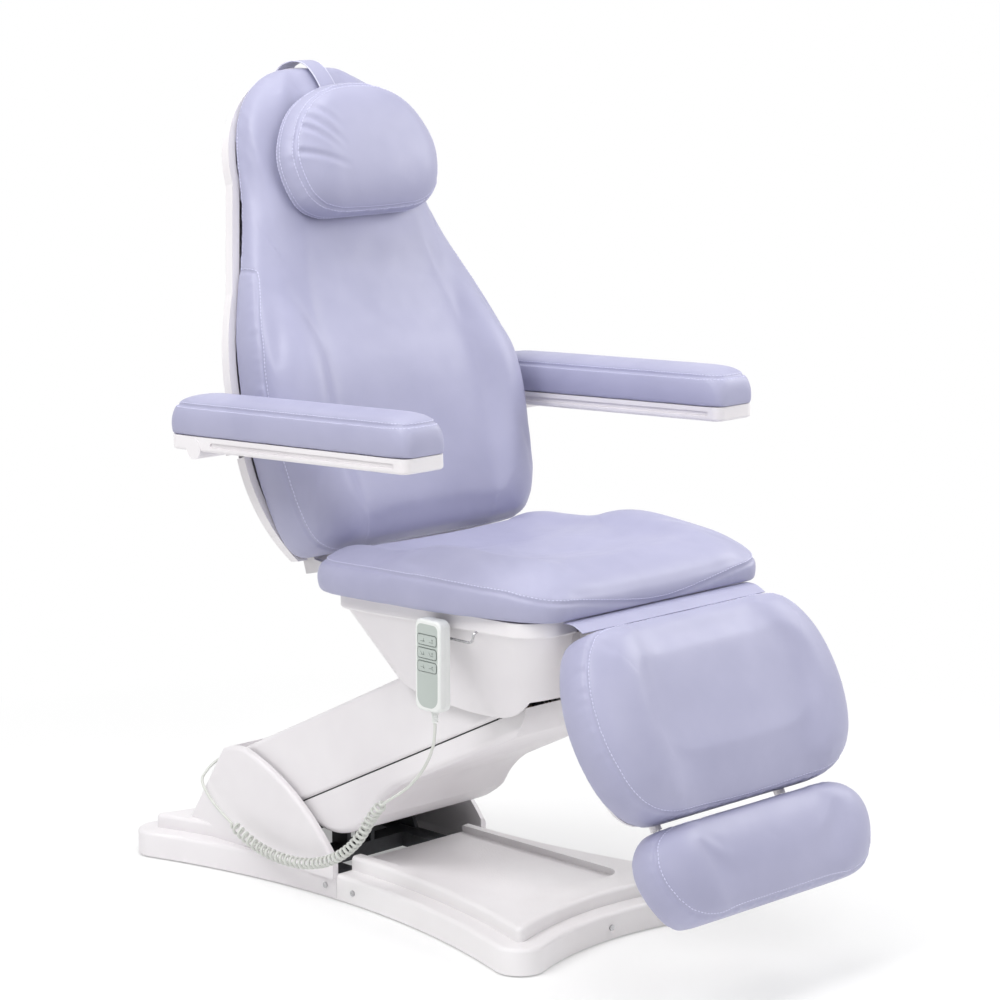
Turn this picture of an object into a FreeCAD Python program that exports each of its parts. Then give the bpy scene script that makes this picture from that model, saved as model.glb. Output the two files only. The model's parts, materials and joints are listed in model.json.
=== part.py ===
import FreeCAD, Part
import math
import os
import re
import Sketcher
from FreeCAD import Placement, Rotation, Vector

# Electric facial bed. It faces -Y, the sitter's left is +X, and it stands on z = 0.
# Driving dimensions, in millimetres and degrees.
DIMENSIONS = {
    # everything is laid out first and then moved, so that the origin lies in the middle of the whole
    "centre_shift": 1.9,
    # floor base: plan outline and heights
    "foot_x": 201, "foot_front": -276, "foot_rear": 603, "foot_round": 42, "waist_half": 172,
    "front_edge": -282, "rear_edge": 611, "seam_y": 181, "seam_gap": 1,
    "skirt_low": 3, "skirt_top": 46, "deck_top": 70, "deck_inset": 34, "cover_wall": 4,
    "tray_half": 118, "tray_front": 196, "tray_floor": 59, "tray_round": 30,
    # tower on the rear base cover
    "tower_half": 178, "tower_wall": 12, "tower_top": 218, "tower_crest_y": 412, "tower_back_y": 466,
    "tower_back_z": 208, "tower_heel_y": 556, "tower_toe_y": 184, "tower_bow": 420, "tower_mouth_y": 446,
    "gland_x": -60, "gland_y": 516.9, "gland_z": 130, "gland_tilt": 56.9,
    # steel floor frame
    "rail_in": 98, "rail_out": 138, "rail_low": 10, "rail_high": 35, "frame_front": 262, "frame_rear": 590,
    "frame_end_half": 200, "rail_width": 40, "stand_in": 132, "stand_out": 140, "boss_round": 30,
    # lift arm
    "arm_pivot_y": 402, "arm_pivot_z": 158, "arm_angle": 26, "arm_length": 623,
    "beam_in": 95, "beam_out": 125, "beam_deep": 50, "beam_wall": 4, "tube_round": 32, "tube_half": 130,
    "pin_round": 10, "pin_half": 146, "pin_fit": 0.08,
    "arm_half": 160, "arm_top": 62, "arm_under": 100, "arm_belly": 140, "arm_skin": 4,
    # stabiliser links below the arm, and the upper pivots
    "link_drop": 60, "link_in": 69, "link_out": 81, "link_deep": 22, "link_eye": 18, "link_play": 0.3,
    # lift actuator
    "motor_y": 330, "motor_z": 75, "ram_on_arm": 380, "ram_drop": 20, "ram_pin": 8, "ram_play": 3.5,
    "ram_tilt": 39.75, "ram_length": 362, "ram_tube": 18, "ram_rod": 11, "ram_tube_end": 300,
    # seat and carriage
    "seat_y": 56, "seat_z": 553, "seat_tilt": 2,
    "board_thick": 12, "board_half": 238, "rail_bottom": 510, "rail_top": 538, "seat_rail_in": 136,
    "seat_rail_out": 164, "strap_low": 526, "plate_half": 44,
    "pan_top_half": 250, "pan_low_half": 176, "pan_top_rear": 42, "pan_top_front": 408, "pan_low_rear": -30,
    "pan_low_front": 356, "pan_low": -181, "pan_rim": -25, "pan_top": -1, "pan_round": 56, "pan_wall": 4,
    "lip_out": 7, "ram_seat_x": 60, "flap_half": 225, "flap_thick": 2,
    # backrest
    "back_y": 118, "back_z": 606, "back_tilt": 17.4, "back_hinge_y": 172, "back_hinge_z": 564,
    "back_deep": 98, "back_tube_in": 126, "back_tube_out": 154, "back_tube_front": 101,
    "back_tube_rear": 129, "back_lever": 60, "back_lever_angle": 52, "back_ram_z": 510.4,
    "back_pin": 8,
    "shell_out": 2, "shell_front": 99, "shell_rear": 150, "shell_inset": 40, "shell_wall": 4,
    "shell_flange": 15, "shell_taper": 6,
    # legrest and footrest, laid out flat and then swung down
    "leg_hinge_y": -384, "leg_hinge_z": 554, "leg_swing": 62, "leg_start": 12, "leg_end": 314,
    "leg_base": 14, "panel_thick": 6, "leg_arm_in": 100, "leg_arm_out": 124, "foot_start": 322,
    "foot_end": 474, "foot_rod_x": 143, "foot_rod": 6, "foot_rod_drop": 30,
    "leg_lever": 60, "leg_lever_angle": 121, "leg_ram_z": 498.3, "leg_pin": 6,
    # armrests
    "armrest_x": 350, "armrest_y": 262, "armrest_z": 778, "armrest_tilt": 2.6, "armrest_half": 48,
    "armrest_rear": 66, "armrest_front": 496, "armrest_pad_low": 20, "armrest_pad_high": 84,
    "rest_pin": 6,
    # head pillow
    "pillow_low": 540, "pillow_high": 762, "pillow_half": 166, "pillow_deep": 78, "pillow_rear": 16,
    "strap_half": 18, "strap_thick": 2,
    # hand control and its hook
    "handset_rear": -267, "handset_y": -165, "handset_low": 408, "handset_high": 552, "handset_half": 28,
    "handset_deep": 24, "key_half": 20, "key_tall": 15, "key_pitch": 21, "key_top": 528, "hook_wire": 2,
    "hook_x": -262, "hook_z": 522,
    # curly cord
    "cord_round": 2.5, "cord_gap": 0.4, "coil_round": 7.5, "coil_turns": 38,
}

doc = FreeCAD.newDocument("FacialBed")
sheet = doc.addObject("Spreadsheet::Sheet", "Dims")
for row, (alias, number) in enumerate(DIMENSIONS.items(), 1):
    sheet.set(f"A{row}", alias)
    sheet.set(f"B{row}", str(number))
    sheet.setAlias(f"B{row}", alias)
doc.recompute()

LEFT, RIGHT = 1, -1
ALIAS = re.compile(r"\b([a-z]+(?:_[a-z]+)+)\b")
pieces = []


# Formulas of the sheet

def formula(text):
    """A formula of aliases, as the expression engine reads it."""
    return ALIAS.sub(r"Dims.\1", str(text))


def value(text):
    """The number that a formula of aliases gives now."""
    return float(sheet.evalExpression(formula(text)))


def bind(obj, **sizes):
    """Bind properties to formulas; a double underscore stands for a dot."""
    for name, text in sizes.items():
        obj.setExpression(name.replace("__", "."), formula(text))


# Sketches and features

def new_body(name):
    body = doc.addObject("PartDesign::Body", name)
    body.Label = name
    return body


def new_sketch(body, role, lift="0"):
    """A sketch on one of the body's own planes, lifted along the plane's normal."""
    sketch = body.newObject("Sketcher::SketchObject", "Sketch")
    plane = next(item for item in body.Origin.OriginFeatures if item.Role == role)
    sketch.AttachmentSupport = (plane, [""])
    sketch.MapMode = "FlatFace"
    bind(sketch, AttachmentOffset__Base__z=lift)
    return sketch


def fix_point(sketch, geometry, end, x, y):
    """Hold a point of the sketch at the two formulas."""
    for kind, axis, text in (("DistanceX", -2, x), ("DistanceY", -1, y)):
        number = value(text)
        if abs(number) < 1e-9:
            sketch.addConstraint(Sketcher.Constraint("PointOnObject", geometry, end, axis))
            continue
        index = sketch.addConstraint(Sketcher.Constraint(kind, -1, 1, geometry, end, number))
        sketch.setExpression(f"Constraints[{index}]", formula(text))


def fix_radius(sketch, geometry, radius):
    index = sketch.addConstraint(Sketcher.Constraint("Radius", geometry, value(radius)))
    sketch.setExpression(f"Constraints[{index}]", formula(radius))


def arc_geometry(start, end, radius, turn):
    """The minor arc between two points that turns LEFT or RIGHT on its way."""
    chord = end - start
    side = Vector(-chord.y, chord.x, 0).normalize() * turn
    centre = (start + end) * 0.5 + side * math.sqrt(radius ** 2 - (chord.Length / 2) ** 2)
    first, last = (start, end) if turn == LEFT else (end, start)
    angles = [math.atan2(point.y - centre.y, point.x - centre.x) for point in (first, last)]
    return Part.ArcOfCircle(Part.Circle(centre, Vector(0, 0, 1), radius), *angles)


def outline(sketch, corners):
    """A closed outline. A corner is (x, y), or (x, y, radius, turn) where an arc leads to it."""
    points = [Vector(value(corner[0]), value(corner[1]), 0) for corner in corners]
    sides = []
    for index, corner in enumerate(corners):
        start, end = points[index - 1], points[index]
        if len(corner) == 2:
            sides.append((sketch.addGeometry(Part.LineSegment(start, end), False), 1, 2))
            continue
        arc = arc_geometry(start, end, value(corner[2]), corner[3])
        ends = (1, 2) if corner[3] == LEFT else (2, 1)
        sides.append((sketch.addGeometry(arc, False), *ends))
    for index, (geometry, _, end) in enumerate(sides):
        following, start, _ = sides[(index + 1) % len(sides)]
        sketch.addConstraint(Sketcher.Constraint("Coincident", geometry, end, following, start))
    for (geometry, _, end), corner in zip(sides, corners):
        fix_point(sketch, geometry, end, corner[0], corner[1])
        if len(corner) == 4:
            fix_radius(sketch, geometry, corner[2])


def circle(sketch, x, y, radius):
    centre = Vector(value(x), value(y), 0)
    geometry = sketch.addGeometry(Part.Circle(centre, Vector(0, 0, 1), value(radius)), False)
    fix_point(sketch, geometry, 3, x, y)
    fix_radius(sketch, geometry, radius)


def rounded_box(sketch, left, right, low, high, radius):
    """A rectangle with round corners."""
    outline(sketch, [
        (f"{right} - ({radius})", low), (right, f"{low} + {radius}", radius, LEFT),
        (right, f"{high} - ({radius})"), (f"{right} - ({radius})", high, radius, LEFT),
        (f"{left} + {radius}", high), (left, f"{high} - ({radius})", radius, LEFT),
        (left, f"{low} + {radius}"), (f"{left} + {radius}", low, radius, LEFT)])


def made(feature):
    """Recompute, and stop at a feature that failed."""
    doc.recompute()
    if "Invalid" in feature.State or "Error" in feature.State:
        raise RuntimeError(f"{feature.Name} of {feature.getParent().Label}: {feature.getStatusString()}")
    return feature


def extrude(body, kind, sketch, length, symmetric=False, backwards=False):
    """A Pad or a Pocket of the sketch."""
    feature = body.newObject(f"PartDesign::{kind}", kind)
    feature.Profile = sketch
    feature.SideType = "Symmetric" if symmetric else "One side"
    feature.Reversed = backwards
    bind(feature, Length=length)
    return made(feature)


def pad(body, sketch, length, **options):
    return extrude(body, "Pad", sketch, length, **options)


def pocket(body, sketch, length, **options):
    """A Pocket, which has to take material away."""
    before = body.Shape.Volume
    feature = extrude(body, "Pocket", sketch, length, **options)
    if body.Shape.Volume > before - 1:
        raise RuntimeError(f"a pocket of {body.Label} cuts nothing")
    return feature


def soften(body, radius, test):
    """Round the edges of the body so far that pass a test."""
    base = body.Tip
    edges = [f"Edge{i}" for i, edge in enumerate(base.Shape.Edges, 1) if test(edge)]
    fillet = body.newObject("PartDesign::Fillet", "Fillet")
    fillet.Base = (base, edges)
    bind(fillet, Radius=radius)
    return made(fillet)


def lies_at(axis, *numbers):
    """Test for an edge that lies in a plane across the axis."""
    def test(edge):
        low, high = getattr(edge.BoundBox, axis + "Min"), getattr(edge.BoundBox, axis + "Max")
        return any(abs(low - number) < 0.01 and abs(high - number) < 0.01 for number in numbers)
    return test


# Primitives and booleans

TURNS = {"x": Rotation(Vector(0, 1, 0), 90), "y": Rotation(Vector(1, 0, 0), -90), "z": Rotation()}


def block(x, y, z):
    """A box between two formulas on each axis."""
    box = doc.addObject("Part::Box", "Block")
    bind(box, Length=f"({x[1]}) - ({x[0]})", Width=f"({y[1]}) - ({y[0]})", Height=f"({z[1]}) - ({z[0]})")
    bind(box, Placement__Base__x=x[0], Placement__Base__y=y[0], Placement__Base__z=z[0])
    return box


def rod(axis, radius, start, end, at):
    """A cylinder along an axis from start to end; at gives the other two coordinates in order."""
    bar = doc.addObject("Part::Cylinder", "Rod")
    bar.Placement = Placement(Vector(), TURNS[axis])
    bind(bar, Radius=radius, Height=f"({end}) - ({start})")
    others = iter(at)
    for name in "xyz":
        bar.setExpression(f"Placement.Base.{name}", formula(start if name == axis else next(others)))
    return bar


def fuse(shapes):
    joined = doc.addObject("Part::MultiFuse", "Fuse")
    joined.Shapes = shapes
    return joined


def cut(base, tools):
    """The base less the tools."""
    rest = doc.addObject("Part::Cut", "Cut")
    rest.Base = base
    rest.Tool = tools[0] if len(tools) == 1 else fuse(tools)
    return rest


def group(shapes):
    """Separate solids that share one node."""
    bundle = doc.addObject("Part::Compound", "Group")
    bundle.Links = shapes
    return bundle


def both_sides(make):
    """The same shape on the left and on the right."""
    return [make(1), make(-1)]


def across(side, inner, outer):
    """The x range between two distances from the middle, on one side."""
    return (inner, outer) if side > 0 else (f"-({outer})", f"-({inner})")


def plate(side, inner, outer, corners):
    """A flat plate across X, on one side: an outline in Y and Z."""
    body = new_body("Plate")
    sketch = new_sketch(body, "YZ_Plane", across(side, inner, outer)[0])
    outline(sketch, corners)
    pad(body, sketch, f"({outer}) - ({inner})")
    return body


def solid_feature(shape):
    feature = doc.addObject("Part::Feature", "Shape")
    feature.Shape = shape
    return feature


# Frames in which the sub-parts are laid out: origin and turn about X
FRAMES = {
    "world": ("0", "0", "0", "0"),
    "arm": ("0", "arm_pivot_y", "arm_pivot_z", "-arm_angle"),
    "ram": ("0", "motor_y", "motor_z", "-ram_tilt"),
    "gland": ("gland_x", "gland_y", "gland_z", "-gland_tilt"),
    "seat": ("0", "seat_y", "seat_z", "-seat_tilt"),
    "back": ("0", "back_y", "back_z", "-back_tilt"),
    "leg": ("0", "leg_hinge_y", "leg_hinge_z", "leg_swing"),
    "armrest_left": ("armrest_x", "armrest_y", "armrest_z", "-armrest_tilt"),
    "armrest_right": ("-armrest_x", "armrest_y", "armrest_z", "-armrest_tilt"),
}


def finish(name, obj, frame="world"):
    """Name a sub-part and put it where its frame stands."""
    obj.Label = name
    x, y, z, turn = FRAMES[frame]
    y = f"{y} + centre_shift"
    obj.Placement = Placement(Vector(value(x), value(y), value(z)), Rotation(Vector(1, 0, 0), value(turn)))
    bind(obj, Placement__Base__x=x, Placement__Base__y=y, Placement__Base__z=z)
    if frame != "world":
        bind(obj, Placement__Rotation__Angle=turn)
    pieces.append(obj)
    return obj


def into(frame, y, z):
    """A world point of the middle plane, as y and z formulas of a frame."""
    _, origin_y, origin_z, turn = FRAMES[frame]
    dy, dz = f"({y} - ({origin_y}))", f"({z} - ({origin_z}))"
    return f"{dy} * cos({turn}) + {dz} * sin({turn})", f"{dz} * cos({turn}) - {dy} * sin({turn})"


# Floor base: frame, feet and covers

def base_frame():
    rails = both_sides(lambda side: block(
        across(side, "rail_in", "rail_out"), ("-frame_front", "frame_rear"), ("rail_low", "rail_high")))
    ends = [block(("-frame_end_half", "frame_end_half"), (low, high), ("rail_low", "rail_high"))
            for low, high in (("-frame_front", "rail_width - frame_front"),
                              ("frame_rear - rail_width", "frame_rear"))]
    middle = block(("-rail_in", "rail_in"), ("motor_y - 20", "motor_y + 20"), ("rail_low", "rail_high"))
    lugs = both_sides(lambda side: block(
        across(side, "ram_tube + 5", "ram_tube + 13"), ("motor_y - 20", "motor_y + 20"),
        ("rail_high", "motor_z + 18")))
    bore = rod("x", "ram_pin + pin_fit", "-50", "50", ("motor_y", "motor_z"))
    finish("base_frame", cut(fuse(rails + ends + [middle] + lugs), [bore]))
    finish("lift_actuator_pin", group([rod("x", "ram_pin", "-36", "36", ("motor_y", "motor_z"))]))


def levelling_feet():
    feet = []
    for x in ("frame_end_half - 24", "24 - frame_end_half"):
        for y in ("rail_width / 2 - frame_front", "frame_rear - rail_width / 2"):
            feet.append(fuse([rod("z", "22", "0", "7", (x, y)), rod("z", "6", "7", "rail_low", (x, y))]))
    finish("levelling_feet", group(feet))


def pivot_stand():
    """Two plates that carry the arm and link pins, joined by a cross plate."""
    body = new_body("pivot_stand")
    boss = "boss_round * 1.01"
    corners = [("arm_pivot_y - 88", "rail_high"), ("arm_pivot_y + 66", "rail_high"),
               ("arm_pivot_y + boss_round", "arm_pivot_z"),
               ("arm_pivot_y - boss_round", "arm_pivot_z", boss, LEFT)]
    for lift in ("stand_in", "-stand_out"):
        sketch = new_sketch(body, "YZ_Plane", lift)
        outline(sketch, corners)
        pad(body, sketch, "stand_out - stand_in")
    bridge = new_sketch(body, "XY_Plane", "rail_high")
    rounded_box(bridge, "-stand_out", "stand_out", "arm_pivot_y + 24", "arm_pivot_y + 56", "2")
    pad(body, bridge, "8")
    bores = new_sketch(body, "YZ_Plane")
    circle(bores, "arm_pivot_y", "arm_pivot_z", "pin_round + pin_fit")
    pocket(body, bores, "400", symmetric=True)
    lower = new_sketch(body, "YZ_Plane")
    circle(lower, *link_foot(), "pin_round + pin_fit")
    pocket(body, lower, "400", symmetric=True)
    finish("pivot_stand", body)


def link_foot():
    """Lower pivot of the stabiliser links."""
    return "arm_pivot_y - link_drop * sin(arm_angle)", "arm_pivot_z - link_drop * cos(arm_angle)"


def carriage_pivot():
    return "arm_pivot_y - arm_length * cos(arm_angle)", "arm_pivot_z + arm_length * sin(arm_angle)"


def link_head():
    """Upper pivot of the stabiliser links."""
    (foot_y, foot_z), (head_y, head_z) = link_foot(), carriage_pivot()
    return f"{foot_y} + {head_y} - arm_pivot_y", f"{foot_z} + {head_z} - arm_pivot_z"


def pivot_pins():
    for name, places in (("base_pivot_pins", (("arm_pivot_y", "arm_pivot_z"), link_foot())),
                         ("carriage_pivot_pins", (carriage_pivot(), link_head()))):
        finish(name, group([rod("x", "pin_round", "-pin_half", "pin_half", place) for place in places]))


SIDE_SPAN = "((foot_rear - foot_front) / 2)"
SIDE_BEND = (f"(({SIDE_SPAN}^2 + (waist_half - foot_x)^2 - foot_round^2)"
             " / (2 * (foot_round + foot_x - waist_half)))")


def end_bend(depth):
    """Radius of the hollow front or rear edge, which touches both foot circles."""
    return f"((foot_x^2 + ({depth})^2 - foot_round^2) / (2 * (foot_round - ({depth}))))"


def cover_outline(sketch, inset):
    """Plan of the whole base: round feet at the corners, joined by hollow sides and ends that touch them."""
    foot = f"(foot_round - ({inset}))"
    side_x = f"foot_x + {foot} * ({SIDE_BEND} + waist_half - foot_x) / ({SIDE_BEND} + foot_round)"
    side_y = f"{foot} * {SIDE_SPAN} / ({SIDE_BEND} + foot_round)"
    ends = []
    for depth in ("foot_front - front_edge", "rear_edge - foot_rear"):
        bend = end_bend(depth)
        ends.append((f"{bend} + {inset}", f"foot_x - {foot} * foot_x / ({bend} + foot_round)",
                     f"{foot} * ({bend} + {depth}) / ({bend} + foot_round)"))
    (front_bend, front_x, front_y), (rear_bend, rear_x, rear_y) = ends
    side_bend = f"{SIDE_BEND} + {inset}"
    outline(sketch, [
        (front_x, f"foot_front - {front_y}", front_bend, RIGHT),
        (side_x, f"foot_front + {side_y}", foot, LEFT),
        (side_x, f"foot_rear - {side_y}", side_bend, RIGHT), (rear_x, f"foot_rear + {rear_y}", foot, LEFT),
        (f"-({rear_x})", f"foot_rear + {rear_y}", rear_bend, RIGHT),
        (f"-({side_x})", f"foot_rear - {side_y}", foot, LEFT),
        (f"-({side_x})", f"foot_front + {side_y}", side_bend, RIGHT),
        (f"-({front_x})", f"foot_front - {front_y}", foot, LEFT)])


def cut_across(body, low, high):
    """Take everything between two y values off a cover."""
    sketch = new_sketch(body, "XY_Plane", "tower_top + 50")
    outline(sketch, [("-400", low), ("400", low), ("400", high), ("-400", high)])
    pocket(body, sketch, "tower_top + 100")


def base_shell(name, roof):
    """The moulded skirt and deck of the base, hollow from below up to the roof's underside."""
    body = new_body(name)
    for inset, low, high in (("0", "skirt_low", "skirt_top"), ("deck_inset", "skirt_top", "deck_top")):
        sketch = new_sketch(body, "XY_Plane", low)
        cover_outline(sketch, inset)
        pad(body, sketch, f"{high} - {low}")
        soften(body, "7", lies_at("Z", value(high)))
    for inset, high in (("cover_wall", "skirt_top - cover_wall - 6"), ("deck_inset + cover_wall", roof)):
        sketch = new_sketch(body, "XY_Plane", "skirt_low")
        cover_outline(sketch, inset)
        pocket(body, sketch, f"{high} - skirt_low", backwards=True)
    return body


def front_base_cover():
    body = base_shell("front_base_cover", "tray_floor - cover_wall")
    cut_across(body, "seam_y - seam_gap / 2", "rear_edge + 100")
    tray = new_sketch(body, "XY_Plane", "deck_top")
    rounded_box(tray, "-tray_half", "tray_half", "-tray_front", "seam_y + 60", "tray_round")
    pocket(body, tray, "deck_top - tray_floor")
    finish("front_base_cover", body)


def rear_base_cover():
    """Skirt and deck with the tower: two cheeks, a back wall and an open front for the arm."""
    body = base_shell("rear_base_cover", "deck_top - cover_wall")
    tower = new_sketch(body, "YZ_Plane")
    outline(tower, [
        ("tower_toe_y", "skirt_top - 9"), ("tower_heel_y", "skirt_top - 9"), ("tower_heel_y", "deck_top"),
        ("tower_back_y", "tower_back_z"), ("tower_crest_y", "tower_top", "120", LEFT),
        ("tower_toe_y", "deck_top", "tower_bow", LEFT)])
    pad(body, tower, "2 * tower_half", symmetric=True)
    cheeks = lies_at("X", value("tower_half"), -value("tower_half"))
    soften(body, "7", lambda edge: cheeks(edge) and edge.BoundBox.ZMax > value("tower_back_z") - 1)
    cavity = new_sketch(body, "YZ_Plane")
    outline(cavity, [
        ("tower_toe_y - 20", "0"), ("tower_heel_y - tower_wall", "0"),
        ("tower_heel_y - tower_wall", "deck_top"),
        ("tower_back_y - tower_wall", "tower_back_z - tower_wall / 2"), ("tower_mouth_y", "tower_back_z"),
        ("tower_mouth_y", "tower_top + 30"), ("tower_toe_y - 20", "tower_top + 30")])
    pocket(body, cavity, "2 * (tower_half - tower_wall)", symmetric=True)
    cut_across(body, "front_edge - 100", "seam_y + seam_gap / 2")
    inlet = new_sketch(body, "XZ_Plane", "20 - rear_edge")
    rounded_box(inlet, "-15.5", "15.5", "10", "32", "2")
    pocket(body, inlet, "60")
    finish("rear_base_cover", body)


def control_box():
    body = new_body("control_box")
    box = new_sketch(body, "XY_Plane", "rail_high")
    rounded_box(box, "-112", "112", "arm_pivot_y + 70", "arm_pivot_y + 124", "6")
    pad(body, box, "44")
    soften(body, "3", lies_at("Z", value("rail_high + 44")))
    sockets = new_sketch(body, "XZ_Plane", "-arm_pivot_y - 70")
    for x in ("-60", "-20", "20", "60"):
        rounded_box(sockets, f"{x} - 11", f"{x} + 11", "rail_high + 14", "rail_high + 30", "2")
    pocket(body, sockets, "9")
    finish("control_box", body)


def mains_inlet():
    """Flanged socket in the rear skirt, with its three blades set back from the mouth."""
    wall = "rear_edge"
    flange = block(("-22", "22"), (f"{wall} + 0.5", f"{wall} + 3.5"), ("6", "36"))
    case = block(("-15", "15"), (f"{wall} - 20", f"{wall} + 0.5"), ("10.5", "31.5"))
    mouth = block(("-12", "12"), (f"{wall} - 16", f"{wall} + 10"), ("12.5", "29.5"))
    places = (("-7", "18"), ("0", "22"), ("7", "18"))
    blades = [block((f"{x} - 1", f"{x} + 1"), (f"{wall} - 17", f"{wall} - 4"), (z, f"{z} + 4"))
              for x, z in places]
    finish("mains_inlet", fuse([cut(fuse([flange, case]), [mouth])] + blades))


def cord_gland():
    """Flange and tapered sleeve where the cord goes into the tower."""
    body = new_body("cord_gland")
    profile = new_sketch(body, "XZ_Plane")
    bore = "cord_round + pin_fit"
    outline(profile, [(bore, "0"), ("11", "0"), ("11", "3"), ("8", "4"), ("5", "19"), (bore, "19")])
    turn = body.newObject("PartDesign::Revolution", "Revolution")
    turn.Profile = profile
    turn.ReferenceAxis = (profile, ["V_Axis"])
    finish("cord_gland", body, "gland")


def skirt_side(y):
    """Half width of the skirt at a y value."""
    bend = value(SIDE_BEND)
    from_middle = y - value("(foot_front + foot_rear) / 2")
    return value("waist_half") + bend - math.sqrt(bend ** 2 - from_middle ** 2)


def base_cover_screws():
    """Pan head screws through the skirts, beside the seam and at the front."""
    heads = []
    for y in (value("seam_y + 27"), value("seam_y - 40")):
        edge = skirt_side(y) + 0.15
        heads.append(rod("x", "5", f"{edge}", f"{edge + 2}", (f"{y}", "22")))
        heads.append(rod("x", "5", f"{-edge - 2}", f"{-edge}", (f"{y}", "22")))
    front = value("front_edge") - 0.15
    heads.append(rod("y", "5", f"{front - 2}", f"{front}", ("0", "22")))
    finish("base_cover_screws", group(heads))


# Lift arm, its links and its actuator

def lift_arm():
    """Two box beams between cross tubes, with lugs for the actuator."""
    half = "beam_deep / 2"
    beams = both_sides(lambda side: cut(
        block(across(side, "beam_in", "beam_out"), ("-arm_length", "0"), (f"-{half}", half)),
        [block(across(side, "beam_in + beam_wall", "beam_out - beam_wall"), ("-arm_length - 1", "1"),
               (f"beam_wall - {half}", f"{half} - beam_wall"))]))
    tubes = [rod("x", "tube_round", "-tube_half", "tube_half", (y, "0")) for y in ("0", "-arm_length")]
    brace = rod("x", "14", "-beam_in", "beam_in", ("-ram_on_arm", "17"))
    lugs = both_sides(lambda side: block(
        across(side, "17", "25"), ("-ram_on_arm - 15", "15 - ram_on_arm"), ("-ram_drop - 18", "17")))
    bores = [rod("x", "pin_round + pin_fit", "-pin_half", "pin_half", (y, "0")) for y in ("0", "-arm_length")]
    bores.append(rod("x", "ram_pin + pin_fit", "-40", "40", ("-ram_on_arm", "-ram_drop")))
    finish("lift_arm", cut(fuse(beams + tubes + [brace] + lugs), bores), "arm")
    finish("lift_rod_pin", group([rod("x", "ram_pin", "-30", "30", ("-ram_on_arm", "-ram_drop"))]), "arm")


def arm_upper_cover():
    """Channel over the arm: round at the foot, tapered at the head, open below."""
    body = new_body("arm_upper_cover")
    skin = new_sketch(body, "YZ_Plane")
    outline(skin, [
        ("0", "-arm_top"), ("0", "arm_top", "arm_top * 1.0005", LEFT), ("63 - arm_length", "arm_top"),
        ("-arm_length - 17", "arm_top / 2"), ("-arm_length - 67", "-arm_top")])
    pad(body, skin, "2 * arm_half", symmetric=True)
    soften(body, "9", lambda edge: lies_at("X", value("arm_half"), -value("arm_half"))(edge)
           and edge.BoundBox.ZMax > value("arm_top") - 1)
    hollow = new_sketch(body, "YZ_Plane")
    outline(hollow, [
        ("arm_top + 20", "-arm_top - 20"), ("arm_top + 20", "arm_top - arm_skin"),
        ("63 - arm_length", "arm_top - arm_skin"),
        ("63 - arm_length", "arm_top + 20"), ("-arm_length - 90", "arm_top + 20"),
        ("-arm_length - 90", "-arm_top - 20")])
    pocket(body, hollow, "2 * (arm_half - arm_skin)", symmetric=True)
    finish("arm_upper_cover", body, "arm")


def arm_lower_cover():
    """Trough under the arm with a belly round the actuator, open above and at the foot."""
    body = new_body("arm_lower_cover")
    seam = "-arm_top - 1"
    skin = new_sketch(body, "YZ_Plane")
    outline(skin, [
        ("-100", seam), ("-arm_length - 68", seam), ("-arm_length - 17", "-arm_under + 2", "90", LEFT),
        ("-340", "-arm_under"), ("-258", "-arm_belly + 8", "160", RIGHT), ("-190", "-arm_belly", "200", LEFT),
        ("-130", "-arm_belly + 22", "120", LEFT)])
    pad(body, skin, "2 * arm_half - 4", symmetric=True)
    soften(body, "12", lambda edge: lies_at("X", value("arm_half - 2"), -value("arm_half - 2"))(edge)
           and edge.BoundBox.ZMax < value("-arm_under") + 8)
    hollow = new_sketch(body, "YZ_Plane")
    outline(hollow, [
        ("-60", "-arm_top + 10"), ("-60", "-arm_under - 6"), ("-130", "-arm_belly + arm_skin + 22"),
        ("-190", "-arm_belly + arm_skin", "120", RIGHT), ("-258", "-arm_belly + arm_skin + 8", "200", RIGHT),
        ("-340", "-arm_under + arm_skin", "160", LEFT), ("-arm_length - 15", "-arm_under + arm_skin + 2"),
        ("-arm_length - 58", "-arm_top", "90", RIGHT), ("-arm_length - 58", "-arm_top + 10")])
    pocket(body, hollow, "2 * (arm_half - arm_skin) - 4", symmetric=True)
    finish("arm_lower_cover", body, "arm")


def stabiliser_links():
    bars = []
    for side in (1, -1):
        wide = across(side, "link_in", "link_out")
        bar = block(wide, ("-arm_length", "0"), ("-link_drop - link_deep / 2", "link_deep / 2 - link_drop"))
        eyes = [rod("x", "link_eye", *wide, (y, "-link_drop")) for y in ("0", "-arm_length")]
        holes = [rod("x", "pin_round + pin_fit", "-100", "100", ("0", "-link_drop")),
                 rod("x", "pin_round + link_play", "-100", "100", ("-arm_length", "-link_drop"))]
        bars.append(cut(fuse([bar] + eyes), holes))
    finish("stabiliser_links", group(bars), "arm")


def lift_actuator():
    """Eye, gearbox, motor and outer tube, with the bore that the rod slides in."""
    eye = rod("x", "ram_tube", "-ram_tube", "ram_tube", ("0", "0"))
    neck = block(("-14", "14"), ("-40", "0"), ("-14", "14"))
    gearbox = block(("-26", "26"), ("-62", "-36"), ("-26", "62"))
    tube = rod("y", "ram_tube", "-ram_tube_end", "-60", ("0", "0"))
    motor = rod("y", "20", "-150", "-60", ("0", "42"))
    bore = rod("y", "ram_rod + pin_fit", "-ram_tube_end - 1", "-140", ("0", "0"))
    hole = rod("x", "ram_pin + pin_fit", "-40", "40", ("0", "0"))
    finish("lift_actuator", cut(fuse([eye, neck, gearbox, tube, motor]), [bore, hole]), "ram")
    shaft = rod("y", "ram_rod", "-ram_length + 4", "-150", ("0", "0"))
    head = rod("x", "ram_tube", "-14", "14", ("-ram_length", "0"))
    slack = rod("x", "ram_pin + ram_play", "-40", "40", ("-ram_length", "0"))
    finish("lift_actuator_rod", cut(fuse([shaft, head]), [slack]), "ram")


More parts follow.
